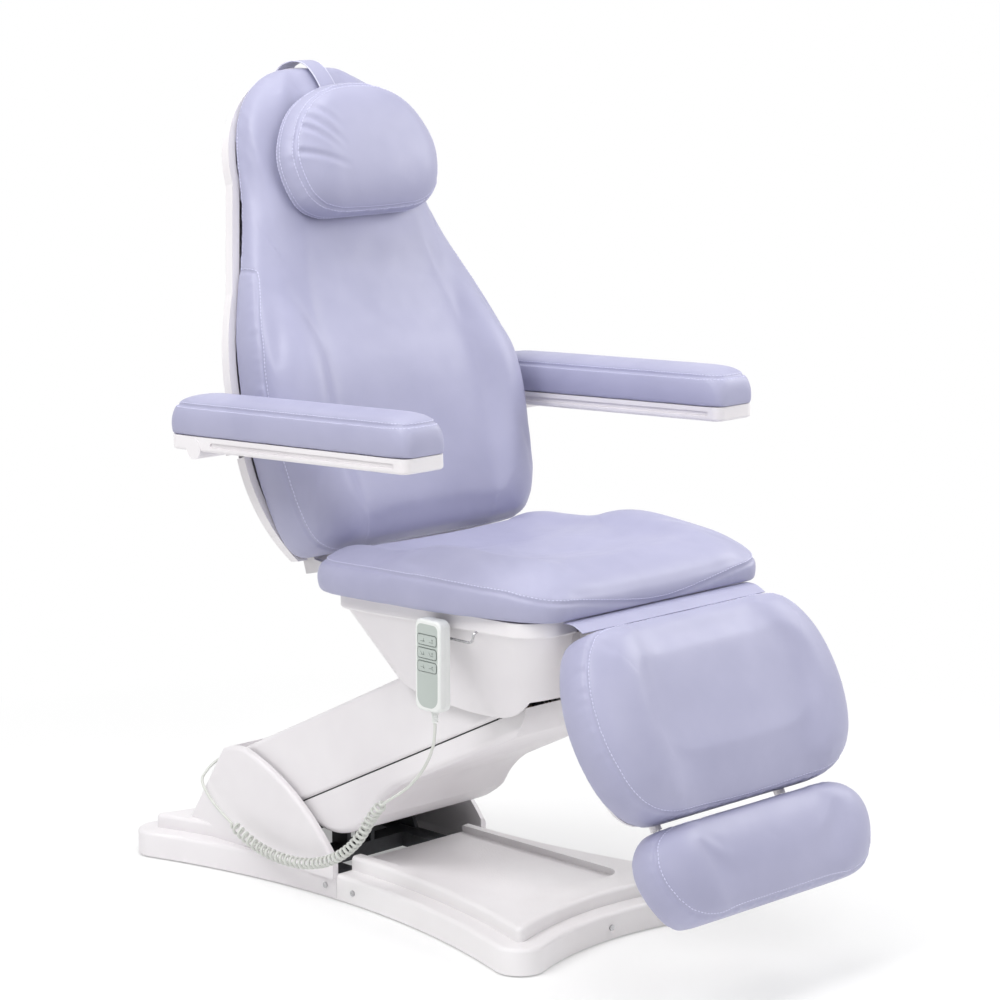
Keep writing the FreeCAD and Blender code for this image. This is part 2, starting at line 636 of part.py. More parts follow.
# Seat carriage

def seat_frame():
    """Two rails, flat cross bars, plates down to the lift pivots and lugs for both hinges."""
    rails = both_sides(lambda side: block(
        across(side, "seat_rail_in", "seat_rail_out"), ("-340", "150"), ("rail_bottom", "rail_top")))
    bars = [block(("-seat_rail_in", "seat_rail_in"), (y, f"{y} + 28"), ("strap_low", "rail_top"))
            for y in ("-300", "-160", "-92", "78")]
    head_y, head_z = carriage_pivot()
    tail_y, tail_z = link_head()
    drops = both_sides(lambda side: plate(side, "stand_in", "stand_out", [
        (f"{head_y} - plate_half", "strap_low"), (f"{tail_y} - 20", tail_z),
        (f"{tail_y} + 20", tail_z, "20.2", LEFT), (f"{head_y} + 32", head_z),
        (f"{head_y} + plate_half", "strap_low")]))
    rear = both_sides(lambda side: plate(side, "seat_rail_out", "seat_rail_out + 8", [
        ("90", "rail_bottom"), ("160", "rail_bottom"), ("back_hinge_y + 14", "back_hinge_z"),
        ("back_hinge_y - 14", "back_hinge_z", "14.1", LEFT), ("90", "rail_top")]))
    front = both_sides(lambda side: plate(side, "seat_rail_in - 8", "seat_rail_in", [
        ("-290", "rail_bottom"), ("-290", "rail_top"), ("leg_hinge_y + 11", "leg_hinge_z"),
        ("leg_hinge_y - 11", "leg_hinge_z", "11.1", LEFT), ("-340", "rail_bottom")]))
    bores = [rod("x", "pin_round + pin_fit", "-pin_half", "pin_half", place)
             for place in (carriage_pivot(), link_head())]
    bores.append(rod("x", "back_pin + pin_fit", "-300", "300", ("back_hinge_y", "back_hinge_z")))
    bores.append(rod("x", "leg_pin + pin_fit", "-300", "300", ("leg_hinge_y", "leg_hinge_z")))
    finish("seat_frame", cut(fuse(rails + bars + drops + rear + front), bores))


def hinge_pins():
    back = both_sides(lambda side: rod(
        "x", "back_pin", *across(side, "160", "190"), ("back_hinge_y", "back_hinge_z")))
    finish("back_hinge_pins", group(back))
    leg = both_sides(lambda side: rod(
        "x", "leg_pin", *across(side, "96", "142"), ("leg_hinge_y", "leg_hinge_z")))
    finish("leg_hinge_pins", group(leg))


def seat_board():
    """Board under the seat cushion, on two battens that stand on the rails."""
    body = new_body("seat_board")
    sheet_cut = new_sketch(body, "XY_Plane", "-board_thick")
    rounded_box(sheet_cut, "-board_half", "board_half", "-386", "34", "40")
    pad(body, sheet_cut, "board_thick")
    for low, high, drop in (("-338", "-304", "13.2"), ("-10", "24", "1.9")):
        batten = new_sketch(body, "XY_Plane", "-board_thick")
        rounded_box(batten, "-seat_rail_out", "seat_rail_out", low, high, "2")
        pad(body, batten, drop, backwards=True)
    finish("seat_board", body, "seat")


def seat_housing():
    """Bowl under the seat, tapering down to the arm: lip at the top, slanted lower edge, open below."""
    body = new_body("seat_housing")

    def ring(level, half, rear, front, shrink, corner):
        sketch = new_sketch(body, "XY_Plane", level)
        rounded_box(sketch, f"-({half}) + {shrink}", f"{half} - {shrink}", f"-({front}) + {shrink}",
                    f"{rear} - {shrink}", f"{corner} - {shrink} / 2")
        return sketch

    def bowl(kind, shrink):
        loft = body.newObject(f"PartDesign::{kind}", kind)
        loft.Profile = ring("pan_low", "pan_low_half", "pan_low_rear", "pan_low_front", shrink, "pan_round")
        loft.Sections = [ring("pan_rim", "pan_top_half", "pan_top_rear", "pan_top_front", shrink,
                              "pan_round")]
        doc.recompute()

    bowl("AdditiveLoft", "0")
    lip = ring("pan_rim", "pan_top_half + lip_out", "pan_top_rear + lip_out", "pan_top_front + lip_out",
               "0", "pan_round")
    pad(body, lip, "pan_top - pan_rim")
    at_rim = lies_at("Z", value("pan_rim"))
    beyond = value("pan_top_half") + 1
    soften(body, "4", lambda edge: at_rim(edge) and max(edge.BoundBox.XMax, -edge.BoundBox.XMin) > beyond)
    bowl("SubtractiveLoft", "pan_wall")
    mouth = ring("pan_rim", "pan_top_half", "pan_top_rear", "pan_top_front", "pan_wall", "pan_round")
    pocket(body, mouth, "pan_top - pan_rim + 5", backwards=True)
    edge = new_sketch(body, "YZ_Plane")
    outline(edge, [
        ("90", "-62"), ("50", "-62"), ("-32", "-142"), ("-145", "-170", "420", RIGHT),
        ("-262", "-176", "420", RIGHT),
        ("-334", "-140", "120", RIGHT), ("-460", "-112"), ("-460", "-240"), ("90", "-240")])
    pocket(body, edge, "800", symmetric=True)
    front = new_sketch(body, "XZ_Plane", "pan_low_front - 30")
    rounded_box(front, "-seat_rail_out", "seat_rail_out", "-95", "20", "6")
    pocket(body, front, "120", backwards=True)
    rear = new_sketch(body, "XZ_Plane", "0")
    rounded_box(rear, "-seat_rail_out - 16", "seat_rail_out + 16", "-90", "20", "6")
    pocket(body, rear, "120")
    finish("seat_housing", body, "seat")


def slotted_eye(x, y, z, reach, rise):
    """Rod end with a slot, so that the lever's pin keeps clear while it swings."""
    eye = block((f"{x} - 7", f"{x} + 7"), (f"{y} - 9 - {reach}", f"{y} + 9 + {reach}"),
                (f"{z} - 10 - {rise}", f"{z} + 10 + {rise}"))
    slot = block((f"{x} - 9", f"{x} + 9"), (f"{y} - 6 - {reach}", f"{y} + 6 + {reach}"),
                 (f"{z} - 6 - {rise}", f"{z} + 6 + {rise}"))
    return eye, slot


def seat_actuator(name, x, z, motor_x, rear, front, tube, shaft, eye_y, play):
    """An actuator that lies under the seat: gearbox, motor and tube in one node, the rod in another."""
    gearbox = block((f"{x} - 22", f"{x} + 22"), (rear, front), (f"{z} - 18", "strap_low"))
    case = rod("y", "15", *tube, (x, z))
    motor = rod("y", "15", f"({rear} + {front}) / 2 - 55", f"({rear} + {front}) / 2 + 30", (motor_x, z))
    arm = block((f"min({x}; {motor_x})", f"max({x}; {motor_x})"), (rear, f"{rear} + 20"),
                (f"{z} - 12", f"{z} + 12"))
    bore = rod("y", "9 + pin_fit", *shaft["bore"], (x, z))
    finish(name, cut(fuse([gearbox, case, motor, arm]), [bore]))
    eye, slot = slotted_eye(x, eye_y, z, *play)
    finish(f"{name}_rod", cut(fuse([rod("y", "9", *shaft["rod"], (x, z)), eye]), [slot]))


def seat_actuators():
    reach = "back_hinge_y + back_lever * cos(back_lever_angle)"
    seat_actuator("back_actuator", "-ram_seat_x", "back_ram_z", "-ram_seat_x - 35", "-160", "-96",
                  ("-100", "96"),
                  {"bore": ("-92", "97"), "rod": ("0", f"{reach} - 10")}, reach, ("3", "7.4"))
    reach = "leg_hinge_y + leg_lever * cos(leg_lever_angle - leg_swing)"
    seat_actuator("leg_actuator", "ram_seat_x", "leg_ram_z", "ram_seat_x + 35", "-94", "-30", ("-262", "-90"),
                  {"bore": ("-263", "-98"), "rod": (f"{reach} + 10", "-170")}, reach, ("2.6", "5.2"))


# Cushions: lofts through sections of a line and arcs

def arc(start, middle, end):
    return Part.Arc(start, middle, end).toShape()


def cushion_wire(at, half, edge, side, crest, crown, middle):
    """A closed section. at maps (across, out) to a point; out is measured from the backing.
    edge: how far the sides draw in; side: height of the side seam; crest: width of the bolster;
    crown: height of the bolster; middle: height at the centre."""
    foot, seam = at(half - edge, 0), at(half - edge * 0.7, side)
    joint = at(half - crest, (crown * 0.35 + middle * 0.65))
    left_foot, left_seam = at(edge - half, 0), at(edge * 0.7 - half, side)
    left_joint = at(crest - half, (crown * 0.35 + middle * 0.65))
    return Part.Wire([
        Part.makeLine(left_foot, foot),
        arc(foot, at(half, side * 0.5), seam),
        arc(seam, at(half - edge * 0.7 - crest * 0.42, crown), joint),
        arc(joint, at(0, middle), left_joint),
        arc(left_joint, at(edge * 0.7 + crest * 0.42 - half, crown), left_seam),
        arc(left_seam, at(-half, side * 0.5), left_foot)])


def cushion(name, frame, wires):
    finish(name, solid_feature(Part.makeLoft(wires, True, False)), frame)


def seat_cushion():
    """Dished seat: bolsters rise towards the front, and the front edge rolls over."""
    stations = (
        # along, half width, edge, side, crest, crown, middle
        (70, 234, 10, 30, 90, 46, 43), (60, 268, 10, 42, 110, 62, 55), (20, 286, 8, 46, 120, 66, 53),
        (-120, 290, 8, 50, 130, 76, 54), (-260, 284, 8, 54, 130, 82, 60), (-350, 272, 8, 52, 130, 76, 66),
        (-405, 256, 8, 44, 120, 64, 62), (-430, 238, 10, 34, 110, 50, 48), (-440, 214, 10, 20, 90, 32, 31))
    wires = [cushion_wire(lambda a, b, y=y: Vector(a, y, b + 1), *shape) for y, *shape in stations]
    cushion("seat_cushion", "seat", wires)


def back_cushion():
    """Back pad: bolsters either side of the lumbar, a plain crowned top that narrows to the head."""
    deep = value("back_deep")
    stations = (
        # height, half width, edge, side, crest, crown, middle
        (2, 218, 8, 40, 80, 70, 66), (14, 242, 8, 66, 100, 100, 92), (100, 272, 8, 78, 120, 124, 98),
        (220, 282, 8, 80, 120, 128, 98), (350, 268, 8, 74, 115, 112, 92), (450, 238, 8, 58, 105, 80, 78),
        (550, 202, 8, 50, 90, 70, 76), (650, 184, 8, 46, 85, 64, 74), (710, 172, 8, 44, 80, 60, 70),
        (760, 146, 8, 40, 70, 54, 62), (795, 104, 8, 34, 50, 44, 50), (812, 62, 8, 26, 30, 32, 36))
    wires = [cushion_wire(lambda a, b, z=z: Vector(a, deep - b, z), *shape) for z, *shape in stations]
    cushion("back_cushion", "back", wires)


def headrest_pillow():
    """Half-moon pillow: flat below, round above, with a gusset and a full crown."""
    low, tall, rear = value("pillow_low"), value("pillow_high - pillow_low"), value("pillow_rear")
    half, deep = value("pillow_half"), value("pillow_deep")
    stations = ((0, 0.56, 0.40), (0.05, 0.78, 0.74), (0.16, 0.92, 0.93), (0.32, 0.99, 1.0), (0.48, 1.0, 1.0),
                (0.64, 0.92, 0.97), (0.79, 0.78, 0.90), (0.90, 0.58, 0.76), (0.97, 0.36, 0.56),
                (1.0, 0.2, 0.4))
    wires = []
    for along, wide, thick in stations:
        z, w, t = low + along * tall, wide * half, thick * deep
        wires.append(cushion_wire(lambda a, b, z=z: Vector(a, rear - b, z), w, 8 * thick, t * 0.5, w * 0.5,
                                  t * 0.86, t))
    cushion("headrest_pillow", "back", wires)


def legrest_cushions():
    """Leg pad and foot pad: dished between side bolsters, with round corners."""
    base = -value("leg_base")
    leg = ((12, 190, 10, 44, 80, 62, 58), (22, 226, 10, 62, 100, 82, 76), (60, 256, 10, 70, 110, 96, 82),
           (140, 278, 10, 72, 115, 102, 84), (220, 272, 10, 72, 110, 100, 84),
           (275, 248, 10, 68, 100, 92, 82), (304, 214, 10, 58, 90, 74, 70), (314, 176, 10, 38, 80, 52, 50))
    foot = ((322, 176, 10, 34, 80, 46, 45), (330, 216, 10, 48, 90, 66, 62), (365, 246, 10, 56, 100, 80, 70),
            (415, 242, 10, 56, 100, 80, 70), (450, 224, 10, 52, 95, 72, 66), (474, 180, 10, 34, 80, 46, 44))
    for name, stations in (("legrest_cushion", leg), ("footrest_cushion", foot)):
        wires = [cushion_wire(lambda a, b, s=s: Vector(a, -s, base + b), *shape) for s, *shape in stations]
        cushion(name, "leg", wires)


def armrest_cushion(side):
    low, high, half = value("armrest_pad_low"), value("armrest_pad_high"), value("armrest_half")
    rear, front = value("armrest_rear"), -value("armrest_front")
    tall = high - low
    stations = ((0, 0.70, 0.45), (0.02, 0.92, 0.80), (0.06, 0.99, 0.95), (0.14, 1.0, 1.0), (0.32, 1.0, 1.0),
                (0.5, 1.0, 1.0), (0.68, 1.0, 1.0), (0.86, 1.0, 1.0), (0.94, 0.99, 0.95), (0.98, 0.92, 0.80),
                (1.0, 0.70, 0.45))
    wires = []
    for along, wide, thick in stations:
        y, w, t = rear + along * (front - rear), wide * half, thick * tall
        wires.append(cushion_wire(lambda a, b, y=y: Vector(a, y, low + b), w, 4, t * 0.62, w * 0.6,
                                  t * 0.94, t))
    cushion(f"armrest_{side}_pad", f"armrest_{side}", wires)


# Backrest frame and shell

def back_frame():
    """Tubes behind the cushion, hinge plates, and the lever that the back actuator turns."""
    hinge_y, hinge_z = into("back", "back_hinge_y", "back_hinge_z")
    pin_y, pin_z = into("back", "(back_hinge_y + back_lever * cos(back_lever_angle))",
                        "(back_hinge_z - back_lever * sin(back_lever_angle))")
    tubes = both_sides(lambda side: block(
        across(side, "back_tube_in", "back_tube_out"), ("back_tube_front", "back_tube_rear"), ("-20", "600")))
    bars = [block(("-back_tube_out", "back_tube_out"), ("back_tube_front", "back_tube_rear"),
                  (z, f"{z} + 28"))
            for z in ("-20", "188", "572")]
    hinges = both_sides(lambda side: plate(side, "176", "184", [
        (f"({hinge_y}) - 14", hinge_z), (f"({hinge_y}) + 14", hinge_z, "14.1", LEFT),
        ("back_tube_rear", "-20"), ("back_tube_rear", "60"), ("back_tube_front", "60"),
        ("back_tube_front", "0")]))
    wings = both_sides(lambda side: block(
        across(side, "back_tube_out", "176"), ("back_tube_front", "back_tube_rear"), ("-20", "60")))
    lever = plate(-1, "ram_seat_x + 10", "ram_seat_x + 18", [
        (f"({pin_y}) - 12", pin_z), (f"({pin_y}) + 12", pin_z, "12.1", LEFT),
        ("back_tube_rear", "-16"), ("back_tube_front", "-16")])
    pin = rod("x", "6", "-ram_seat_x - 18", "-ram_seat_x + 9", (pin_y, pin_z))
    bore = rod("x", "back_pin + pin_fit", "-300", "300", (hinge_y, hinge_z))
    finish("back_frame", cut(fuse(tubes + bars + hinges + wings + [lever, pin]), [bore]), "back")


def back_outline(y, out):
    """Plan of the back at a depth, grown outwards: narrow foot, wide waist, round head."""
    def p(x, z):
        return Vector(x, y, z)
    foot, waist, shoulder, neck, temple = 218 + out, 282 + out, 236 + out, 187 + out, 152 + out
    low, high = 2 - out * 0.5, 815 + out
    right = [arc(p(foot, low), p(waist - 14, 90), p(waist, 220)),
             arc(p(waist, 220), p(waist - 9, 340), p(shoulder, 450)),
             arc(p(shoulder, 450), p((shoulder + neck) / 2 - 1, 545), p(neck, 630)),
             arc(p(neck, 630), p(neck - 9, 695), p(temple, 745))]
    left = [arc(p(-temple, 745), p(9 - neck, 695), p(-neck, 630)),
            arc(p(-neck, 630), p(1 - (shoulder + neck) / 2, 545), p(-shoulder, 450)),
            arc(p(-shoulder, 450), p(9 - waist, 340), p(-waist, 220)),
            arc(p(-waist, 220), p(14 - waist, 90), p(-foot, low))]
    head = arc(p(temple, 745), p(0, high), p(-temple, 745))
    return Part.Wire([Part.makeLine(p(-foot, low), p(foot, low))] + right + [head] + left)


def back_shell():
    """Dished plastic shell behind the cushion, with a flange round its edge and an open foot."""
    front, rear, wall = value("shell_front"), value("shell_rear"), value("shell_wall")
    out, inset, flange = value("shell_out"), value("shell_inset"), value("shell_flange")
    middle, waist = (front + rear) / 2, out - value("shell_taper")

    def through(*sections):
        return Part.makeLoft([back_outline(y, grown) for y, grown in sections], True, True)

    skin = through((front, out), (middle, waist), (rear, -inset))
    hollow = through((front + wall, out - wall - 1), (middle, waist - wall), (rear - wall, -inset - wall))
    mouth = through((front - 1, out - flange), (front + wall + 1, out - flange))
    slots = [Part.makeBox(120, 34, 40, Vector(x, front, 183)) for x in (210, -330)]
    foot = Part.makeBox(400, 60, 90, Vector(-200, front - 2, -60))
    finish("back_shell", solid_feature(skin.cut([hollow, mouth, foot] + slots)), "back")


def armrest_brackets():
    """Flat bars from the back frame, each with a cheek that takes the armrest's pin."""
    pin_y, pin_z = into("back", "armrest_y", "armrest_z")

    def bracket(side):
        bar = block(across(side, "back_tube_out", "300"), ("104", "126"), ("192", "212"))
        cheek = plate(side, "292", "300", [
            ("126", f"({pin_z}) - 16"), ("126", f"({pin_z}) + 16"), (pin_y, f"({pin_z}) + 16"),
            (pin_y, f"({pin_z}) - 16", "16.1", LEFT)])
        hole = rod("x", "rest_pin + pin_fit", "-400", "400", (pin_y, pin_z))
        return cut(fuse([bar, cheek]), [hole])

    finish("armrest_brackets", group(both_sides(bracket)), "back")


def armrest(side):
    """Tray under the pad with a groove along both sides and a boss for the pin."""
    inward = -1 if side == "left" else 1
    name = f"armrest_{side}_tray"
    body = new_body(name)
    plan = new_sketch(body, "XY_Plane", "-4")
    rounded_box(plan, "4 - armrest_half", "armrest_half - 4", "6 - armrest_front", "armrest_rear - 6", "16")
    pad(body, plan, "armrest_pad_low + 3.5")
    soften(body, "5", lies_at("Z", -4.0))
    boss = new_sketch(body, "YZ_Plane")
    circle(boss, "0", "0", "17")
    pad(body, boss, "2 * (armrest_half - 3)", symmetric=True)
    for lift in ("armrest_half - 7", "-armrest_half + 4"):
        groove = new_sketch(body, "YZ_Plane", lift)
        rounded_box(groove, "30 - armrest_front", "-40", "4", "12", "3.9")
        pocket(body, groove, "3", backwards=True)
    hole = new_sketch(body, "YZ_Plane")
    circle(hole, "0", "0", "rest_pin + pin_fit")
    pocket(body, hole, "46", backwards=inward > 0)
    finish(name, body, f"armrest_{side}")
    start, end = ("-60", "-16") if inward < 0 else ("16", "60")
    finish(f"armrest_{side}_pin", group([rod("x", "rest_pin", start, end, ("0", "0"))]), f"armrest_{side}")
    armrest_cushion(side)


# Legrest and footrest

def legrest_frame():
    """Two arms from the hinge, sleeves for the footrest rods, and the lever of the leg actuator."""
    arms = both_sides(lambda side: block(across(side, "leg_arm_in", "leg_arm_out"), ("-250", "11"),
                                         ("-46", "-22")))
    ears = both_sides(lambda side: rod("x", "11", *across(side, "leg_arm_in", "leg_arm_out"), ("0", "0")))
    webs = both_sides(lambda side: block(across(side, "leg_arm_in", "leg_arm_out"), ("-11", "11"),
                                         ("-30", "0")))
    bars = [block(("-leg_arm_in", "leg_arm_in"), (y, f"{y} + 20"), ("-46", "-22")) for y in ("-92", "-246")]
    sleeves = both_sides(lambda side: rod(
        "y", "9", "-318", "-150", (f"{side} * foot_rod_x", "-foot_rod_drop")))
    ties = [block(across(side, "leg_arm_out", "foot_rod_x"), (y, f"{y} + 16"), ("-36", "-24"))
            for side in (1, -1) for y in ("-170", "-240")]
    pin_y, pin_z = "leg_lever * cos(leg_lever_angle)", "-leg_lever * sin(leg_lever_angle)"
    lever = plate(1, "ram_seat_x - 18", "ram_seat_x - 10", [
        (f"{pin_y} - 12", pin_z), (f"{pin_y} + 12", pin_z, "12.1", LEFT), ("-72", "-24"), ("-92", "-24"),
        ("-92", "-46")])
    pin = rod("x", "6", "ram_seat_x - 18", "ram_seat_x + 9", (pin_y, pin_z))
    bores = both_sides(lambda side: rod(
        "y", "foot_rod + pin_fit", "-320", "-148", (f"{side} * foot_rod_x", "-foot_rod_drop")))
    bores.append(rod("x", "leg_pin + pin_fit", "-300", "300", ("0", "0")))
    finish("legrest_frame", cut(fuse(arms + ears + webs + bars + sleeves + ties + [lever, pin]), bores),
           "leg")


def rest_panel(name, start, end, half):
    """Thin moulded panel behind a pad, with round corners and a softened rear edge."""
    body = new_body(name)
    sketch = new_sketch(body, "XY_Plane", "-leg_base - panel_thick - 0.5")
    rounded_box(sketch, f"-{half}", half, f"-({end})", f"-({start})", "60")
    pad(body, sketch, "panel_thick")
    soften(body, "2.5", lies_at("Z", value("-leg_base - panel_thick - 0.5")))
    return body


def legrest_panels():
    finish("legrest_panel", rest_panel("legrest_panel", "leg_start + 8", "leg_end - 8", "240"), "leg")
    foot = rest_panel("footrest_panel", "foot_start + 8", "foot_end - 8", "208")
    for side in ("foot_rod_x", "-foot_rod_x"):
        clamp = new_sketch(foot, "XZ_Plane", "foot_start + 50")
        rounded_box(clamp, f"{side} - 10", f"{side} + 10", "-foot_rod_drop - 9", "-leg_base - 3", "3")
        pad(foot, clamp, "50")
    for side in ("foot_rod_x", "-foot_rod_x"):
        bore = new_sketch(foot, "XZ_Plane", "foot_start + 40")
        circle(bore, side, "-foot_rod_drop", "foot_rod + pin_fit")
        pocket(foot, bore, "58", backwards=True)
    finish("footrest_panel", foot, "leg")
    rods = both_sides(lambda side: rod("y", "foot_rod", "-foot_start - 96", "-160",
                                       (f"{side} * foot_rod_x", "-foot_rod_drop")))
    finish("footrest_rods", group(rods), "leg")


# Routes: straight runs joined by tangent arcs

def route(points, radii=None):
    """A wire through the points, each corner rounded as far as its two runs allow."""
    corners = [points[0]]
    edges = []
    for before, corner, after in zip(points, points[1:], points[2:]):
        back, ahead = (before - corner), (after - corner)
        run = min(back.Length, ahead.Length)
        turn = math.pi - back.getAngle(ahead)
        radius = 0.45 * run / math.tan(turn / 2)
        if radii is not None:
            radii.append(radius)
        near, far = corner + back.normalize() * (0.45 * run), corner + ahead.normalize() * (0.45 * run)
        heart = corner + (back + ahead).normalize() * (radius / math.cos(turn / 2))
        middle = heart + (corner - heart).normalize() * radius
        edges += [Part.LineSegment(corners[-1], near).toShape(), Part.Arc(near, middle, far).toShape()]
        corners.append(far)
    edges.append(Part.LineSegment(corners[-1], points[-1]).toShape())
    return Part.Wire(edges)


def tube(path, radius):
    """A round tube along a wire, its volume compared with section times length."""
    first = path.OrderedEdges[0]
    start, along = first.valueAt(first.FirstParameter), first.tangentAt(first.FirstParameter)
    ring = Part.Wire([Part.makeCircle(radius, start, along)])
    shape = path.makePipeShell([ring], True, False)
    share = shape.Volume / (math.pi * radius ** 2 * path.Length)
    print(f"tube of {path.Length:.0f} mm: volume share {share:.4f}")
    return shape


def ribbon(points, half, thick):
    """A flat band across X that follows points of the middle plane."""
    path = route(points)
    along = (points[1] - points[0]).normalize()
    out = along.cross(Vector(1, 0, 0)) * (thick / 2)
    wide = Vector(half, 0, 0)
    corners = [points[0] + wide + out, points[0] - wide + out, points[0] - wide - out, points[0] + wide - out]
    return path.makePipeShell([Part.makePolygon(corners + corners[:1])], True, False)


def headrest_strap():
    """Band from behind the pillow over the head of the back and down its shell."""
    way = [Vector(0, y, z) for y, z in ((20, 640), (20, 704), (28, 764), (52, 812), (88, 828), (126, 826),
                                        (154, 800), (162, 764), (162, 700))]
    finish("headrest_strap", solid_feature(ribbon(way, value("strap_half"), value("strap_thick"))), "back")
    slider = cut(block(("-24", "24"), ("158", "167"), ("716", "736")),
                 [block(("-strap_half - 1", "strap_half + 1"), ("160.6", "163.4"), ("710", "740"))])
    finish("strap_slider", slider, "back")


def seat_flap():
    """Vinyl flap that bridges the gap between seat and leg rest."""
    way = [Vector(0, y, z) for y, z in ((-374, 567.4), (-386, 566.4), (-397, 563.4), (-407, 559.4))]
    finish("seat_flap", solid_feature(ribbon(way, value("flap_half"), value("flap_thick"))))


# Hand control, hook and curly cord

def handset_shell(name, near, far):
    """A slab of the handset between two depths, with round corners."""
    body = new_body(name)
    sketch = new_sketch(body, "YZ_Plane", f"handset_rear - {far}")
    rounded_box(sketch, "handset_y - handset_half", "handset_y + handset_half", "handset_low",
                "handset_high", "12")
    pad(body, sketch, f"{far} - ({near})")
    return body


def handset():
    rear = handset_shell("handset_rear_shell", "0", "handset_deep / 2")
    soften(rear, "4", lies_at("X", value("handset_rear")))
    relief = new_sketch(rear, "XY_Plane", "handset_low - 18")
    circle(relief, "handset_rear - 8", "handset_y", "4")
    pad(rear, relief, "22")
    finish("handset_rear_shell", rear)
    front = handset_shell("handset_front_shell", "handset_deep / 2 + 0.2", "handset_deep")
    soften(front, "4", lies_at("X", value("handset_rear - handset_deep")))
    rows = ("key_top", "key_top - key_pitch", "key_top - 2 * key_pitch")
    for row in rows:
        well = new_sketch(front, "YZ_Plane", "handset_rear - handset_deep")
        rounded_box(well, "handset_y - key_half - 0.6", "handset_y + key_half + 0.6",
                    f"{row} - key_tall - 0.6", f"{row} + 0.6", "4")
        pocket(front, well, "6", backwards=True)
    finish("handset_front_shell", front)
    for name, row in zip(("lift_key", "back_key", "leg_key"), rows):
        key = new_body(name)
        sketch = new_sketch(key, "YZ_Plane", "handset_rear - handset_deep - 1")
        rounded_box(sketch, "handset_y - key_half", "handset_y + key_half", f"{row} - key_tall", row, "3.4")
        pad(key, sketch, "4")
        rib = new_sketch(key, "XY_Plane", f"{row} - key_tall")
        circle(rib, "handset_rear - handset_deep + 3", "handset_y", "1.8")
        pad(key, rib, "key_tall")
        finish(name, key)
    bridge = block(("handset_rear", "handset_rear + 10.5"), ("handset_y - 11", "handset_y + 11"),
                   ("hook_z + 2.6", "hook_z + 7"))
    tongue = block(("handset_rear + 8", "handset_rear + 10.5"), ("handset_y - 11", "handset_y + 11"),
                   ("hook_z - 40", "hook_z + 7"))
    finish("handset_clip", fuse([bridge, tongue]))


def handset_hook():
    """Bent wire under the lip of the seat housing."""
    x, z, inner = value("hook_x"), value("hook_z"), value("hook_x + 16")
    rear, front = value("handset_y + 33"), value("handset_y - 72")
    way = [Vector(inner, rear, z + 18), Vector(x, rear, z + 17), Vector(x, rear - 3, z),
           Vector(x, front + 3, z), Vector(x, front, z + 17), Vector(inner, front, z + 18)]
    finish("handset_hook", solid_feature(tube(route(way), value("hook_wire"))))


def cord_points():
    """The cord's route by hand: lead from the handset, coil, and lead to the gland."""
    x, y, z = value("handset_rear - 8"), value("handset_y"), value("handset_low - 18")
    steps = ((0, 0, 0), (0, 0, -24), (4, 12, -54), (8, 38, -90), (13, 74, -123), (20, 110, -145),
             (27, 142, -163))
    upper = [Vector(x, y, z) + Vector(*step) for step in steps]
    start, end = upper[-1], Vector(-200, 424, 94)
    coil = [start, start + (start - upper[-2]) * 0.9, Vector(-232, 60, 140), Vector(-222, 130, 92),
            Vector(-212, 210, 64), Vector(-207, 290, 58), Vector(-203, 355, 66), Vector(-201, 402, 84), end]
    lean = math.radians(value("gland_tilt"))
    out = Vector(0, math.sin(lean), math.cos(lean))
    gland = Vector(value("gland_x"), value("gland_y"), value("gland_z"))
    lower = [end, end + (end - coil[-2]), Vector(-199, 468, 118), Vector(-197, 489, 134),
             Vector(-190, 508, 147), Vector(-166, 524, 154), Vector(-132, 545, 158), Vector(-94, 562, 160),
             gland + out * 48, gland + out * 15]
    return upper, coil, lower


def cord_leads(upper, lower):
    """The two leads, each a little short of the coil's end."""
    radii, gap = [], value("cord_gap")
    upper = upper[:-1] + [upper[-1] + (upper[-2] - upper[-1]).normalize() * gap]
    lower = [lower[0] + (lower[1] - lower[0]).normalize() * gap] + lower[1:]
    finish("cord_upper_lead", solid_feature(tube(route(upper, radii), value("cord_round"))))
    finish("cord_lower_lead", solid_feature(tube(route(lower, radii), value("cord_round"))))
    print("lead radii", [round(radius) for radius in radii])


def smooth_line(points):
    """The clamped quadratic spline with the points as its poles."""
    count = len(points) - 2
    spline = Part.BSplineCurve()
    spline.buildFromPolesMultsKnots(points, [3] + [1] * (count - 1) + [3], list(range(count + 1)), False, 2)
    return spline


# Share of the coil that is straight at each end, and the turns over which the curls grow to full size
RUN_IN = 0.012
RAMP_TURNS = 1.2


def helix_point(line, share):
    """A point of the curl at a share of the coil's length: full size between short run-ins."""
    turns = value("coil_turns")
    spot = line.parameterAtDistance(line.length() * share, line.FirstParameter)
    centre, along = line.value(spot), Vector(*line.tangent(spot)[0])
    across_x = (Vector(1, 0, 0) - along * along.x).normalize()
    up = along.cross(across_x)
    inner = min(max((share - RUN_IN) / (1 - 2 * RUN_IN), 0), 1)
    angle = 2 * math.pi * turns * inner
    fade = min(1, inner * turns / RAMP_TURNS, (1 - inner) * turns / RAMP_TURNS)
    size = value("coil_round") * fade * fade * (3 - 2 * fade)
    return centre + across_x * (size * math.cos(angle)) + up * (size * math.sin(angle))


def biarc(start, start_way, end, end_way):
    """Two arcs that leave one point along its way and reach the other along its own."""
    chord, both = end - start, start_way + end_way
    denominator = 2 * (1 - start_way.dot(end_way))
    reach = chord.dot(both)
    if denominator < 1e-9:
        return [Part.LineSegment(start, end).toShape()]
    length = (-reach + math.sqrt(reach ** 2 + denominator * chord.dot(chord))) / denominator
    joint = (start + start_way * length + end - end_way * length) * 0.5
    return [Part.Arc(start, bow(start, start_way, joint), joint).toShape(),
            Part.Arc(joint, bow(end, end_way * -1, joint), end).toShape()]


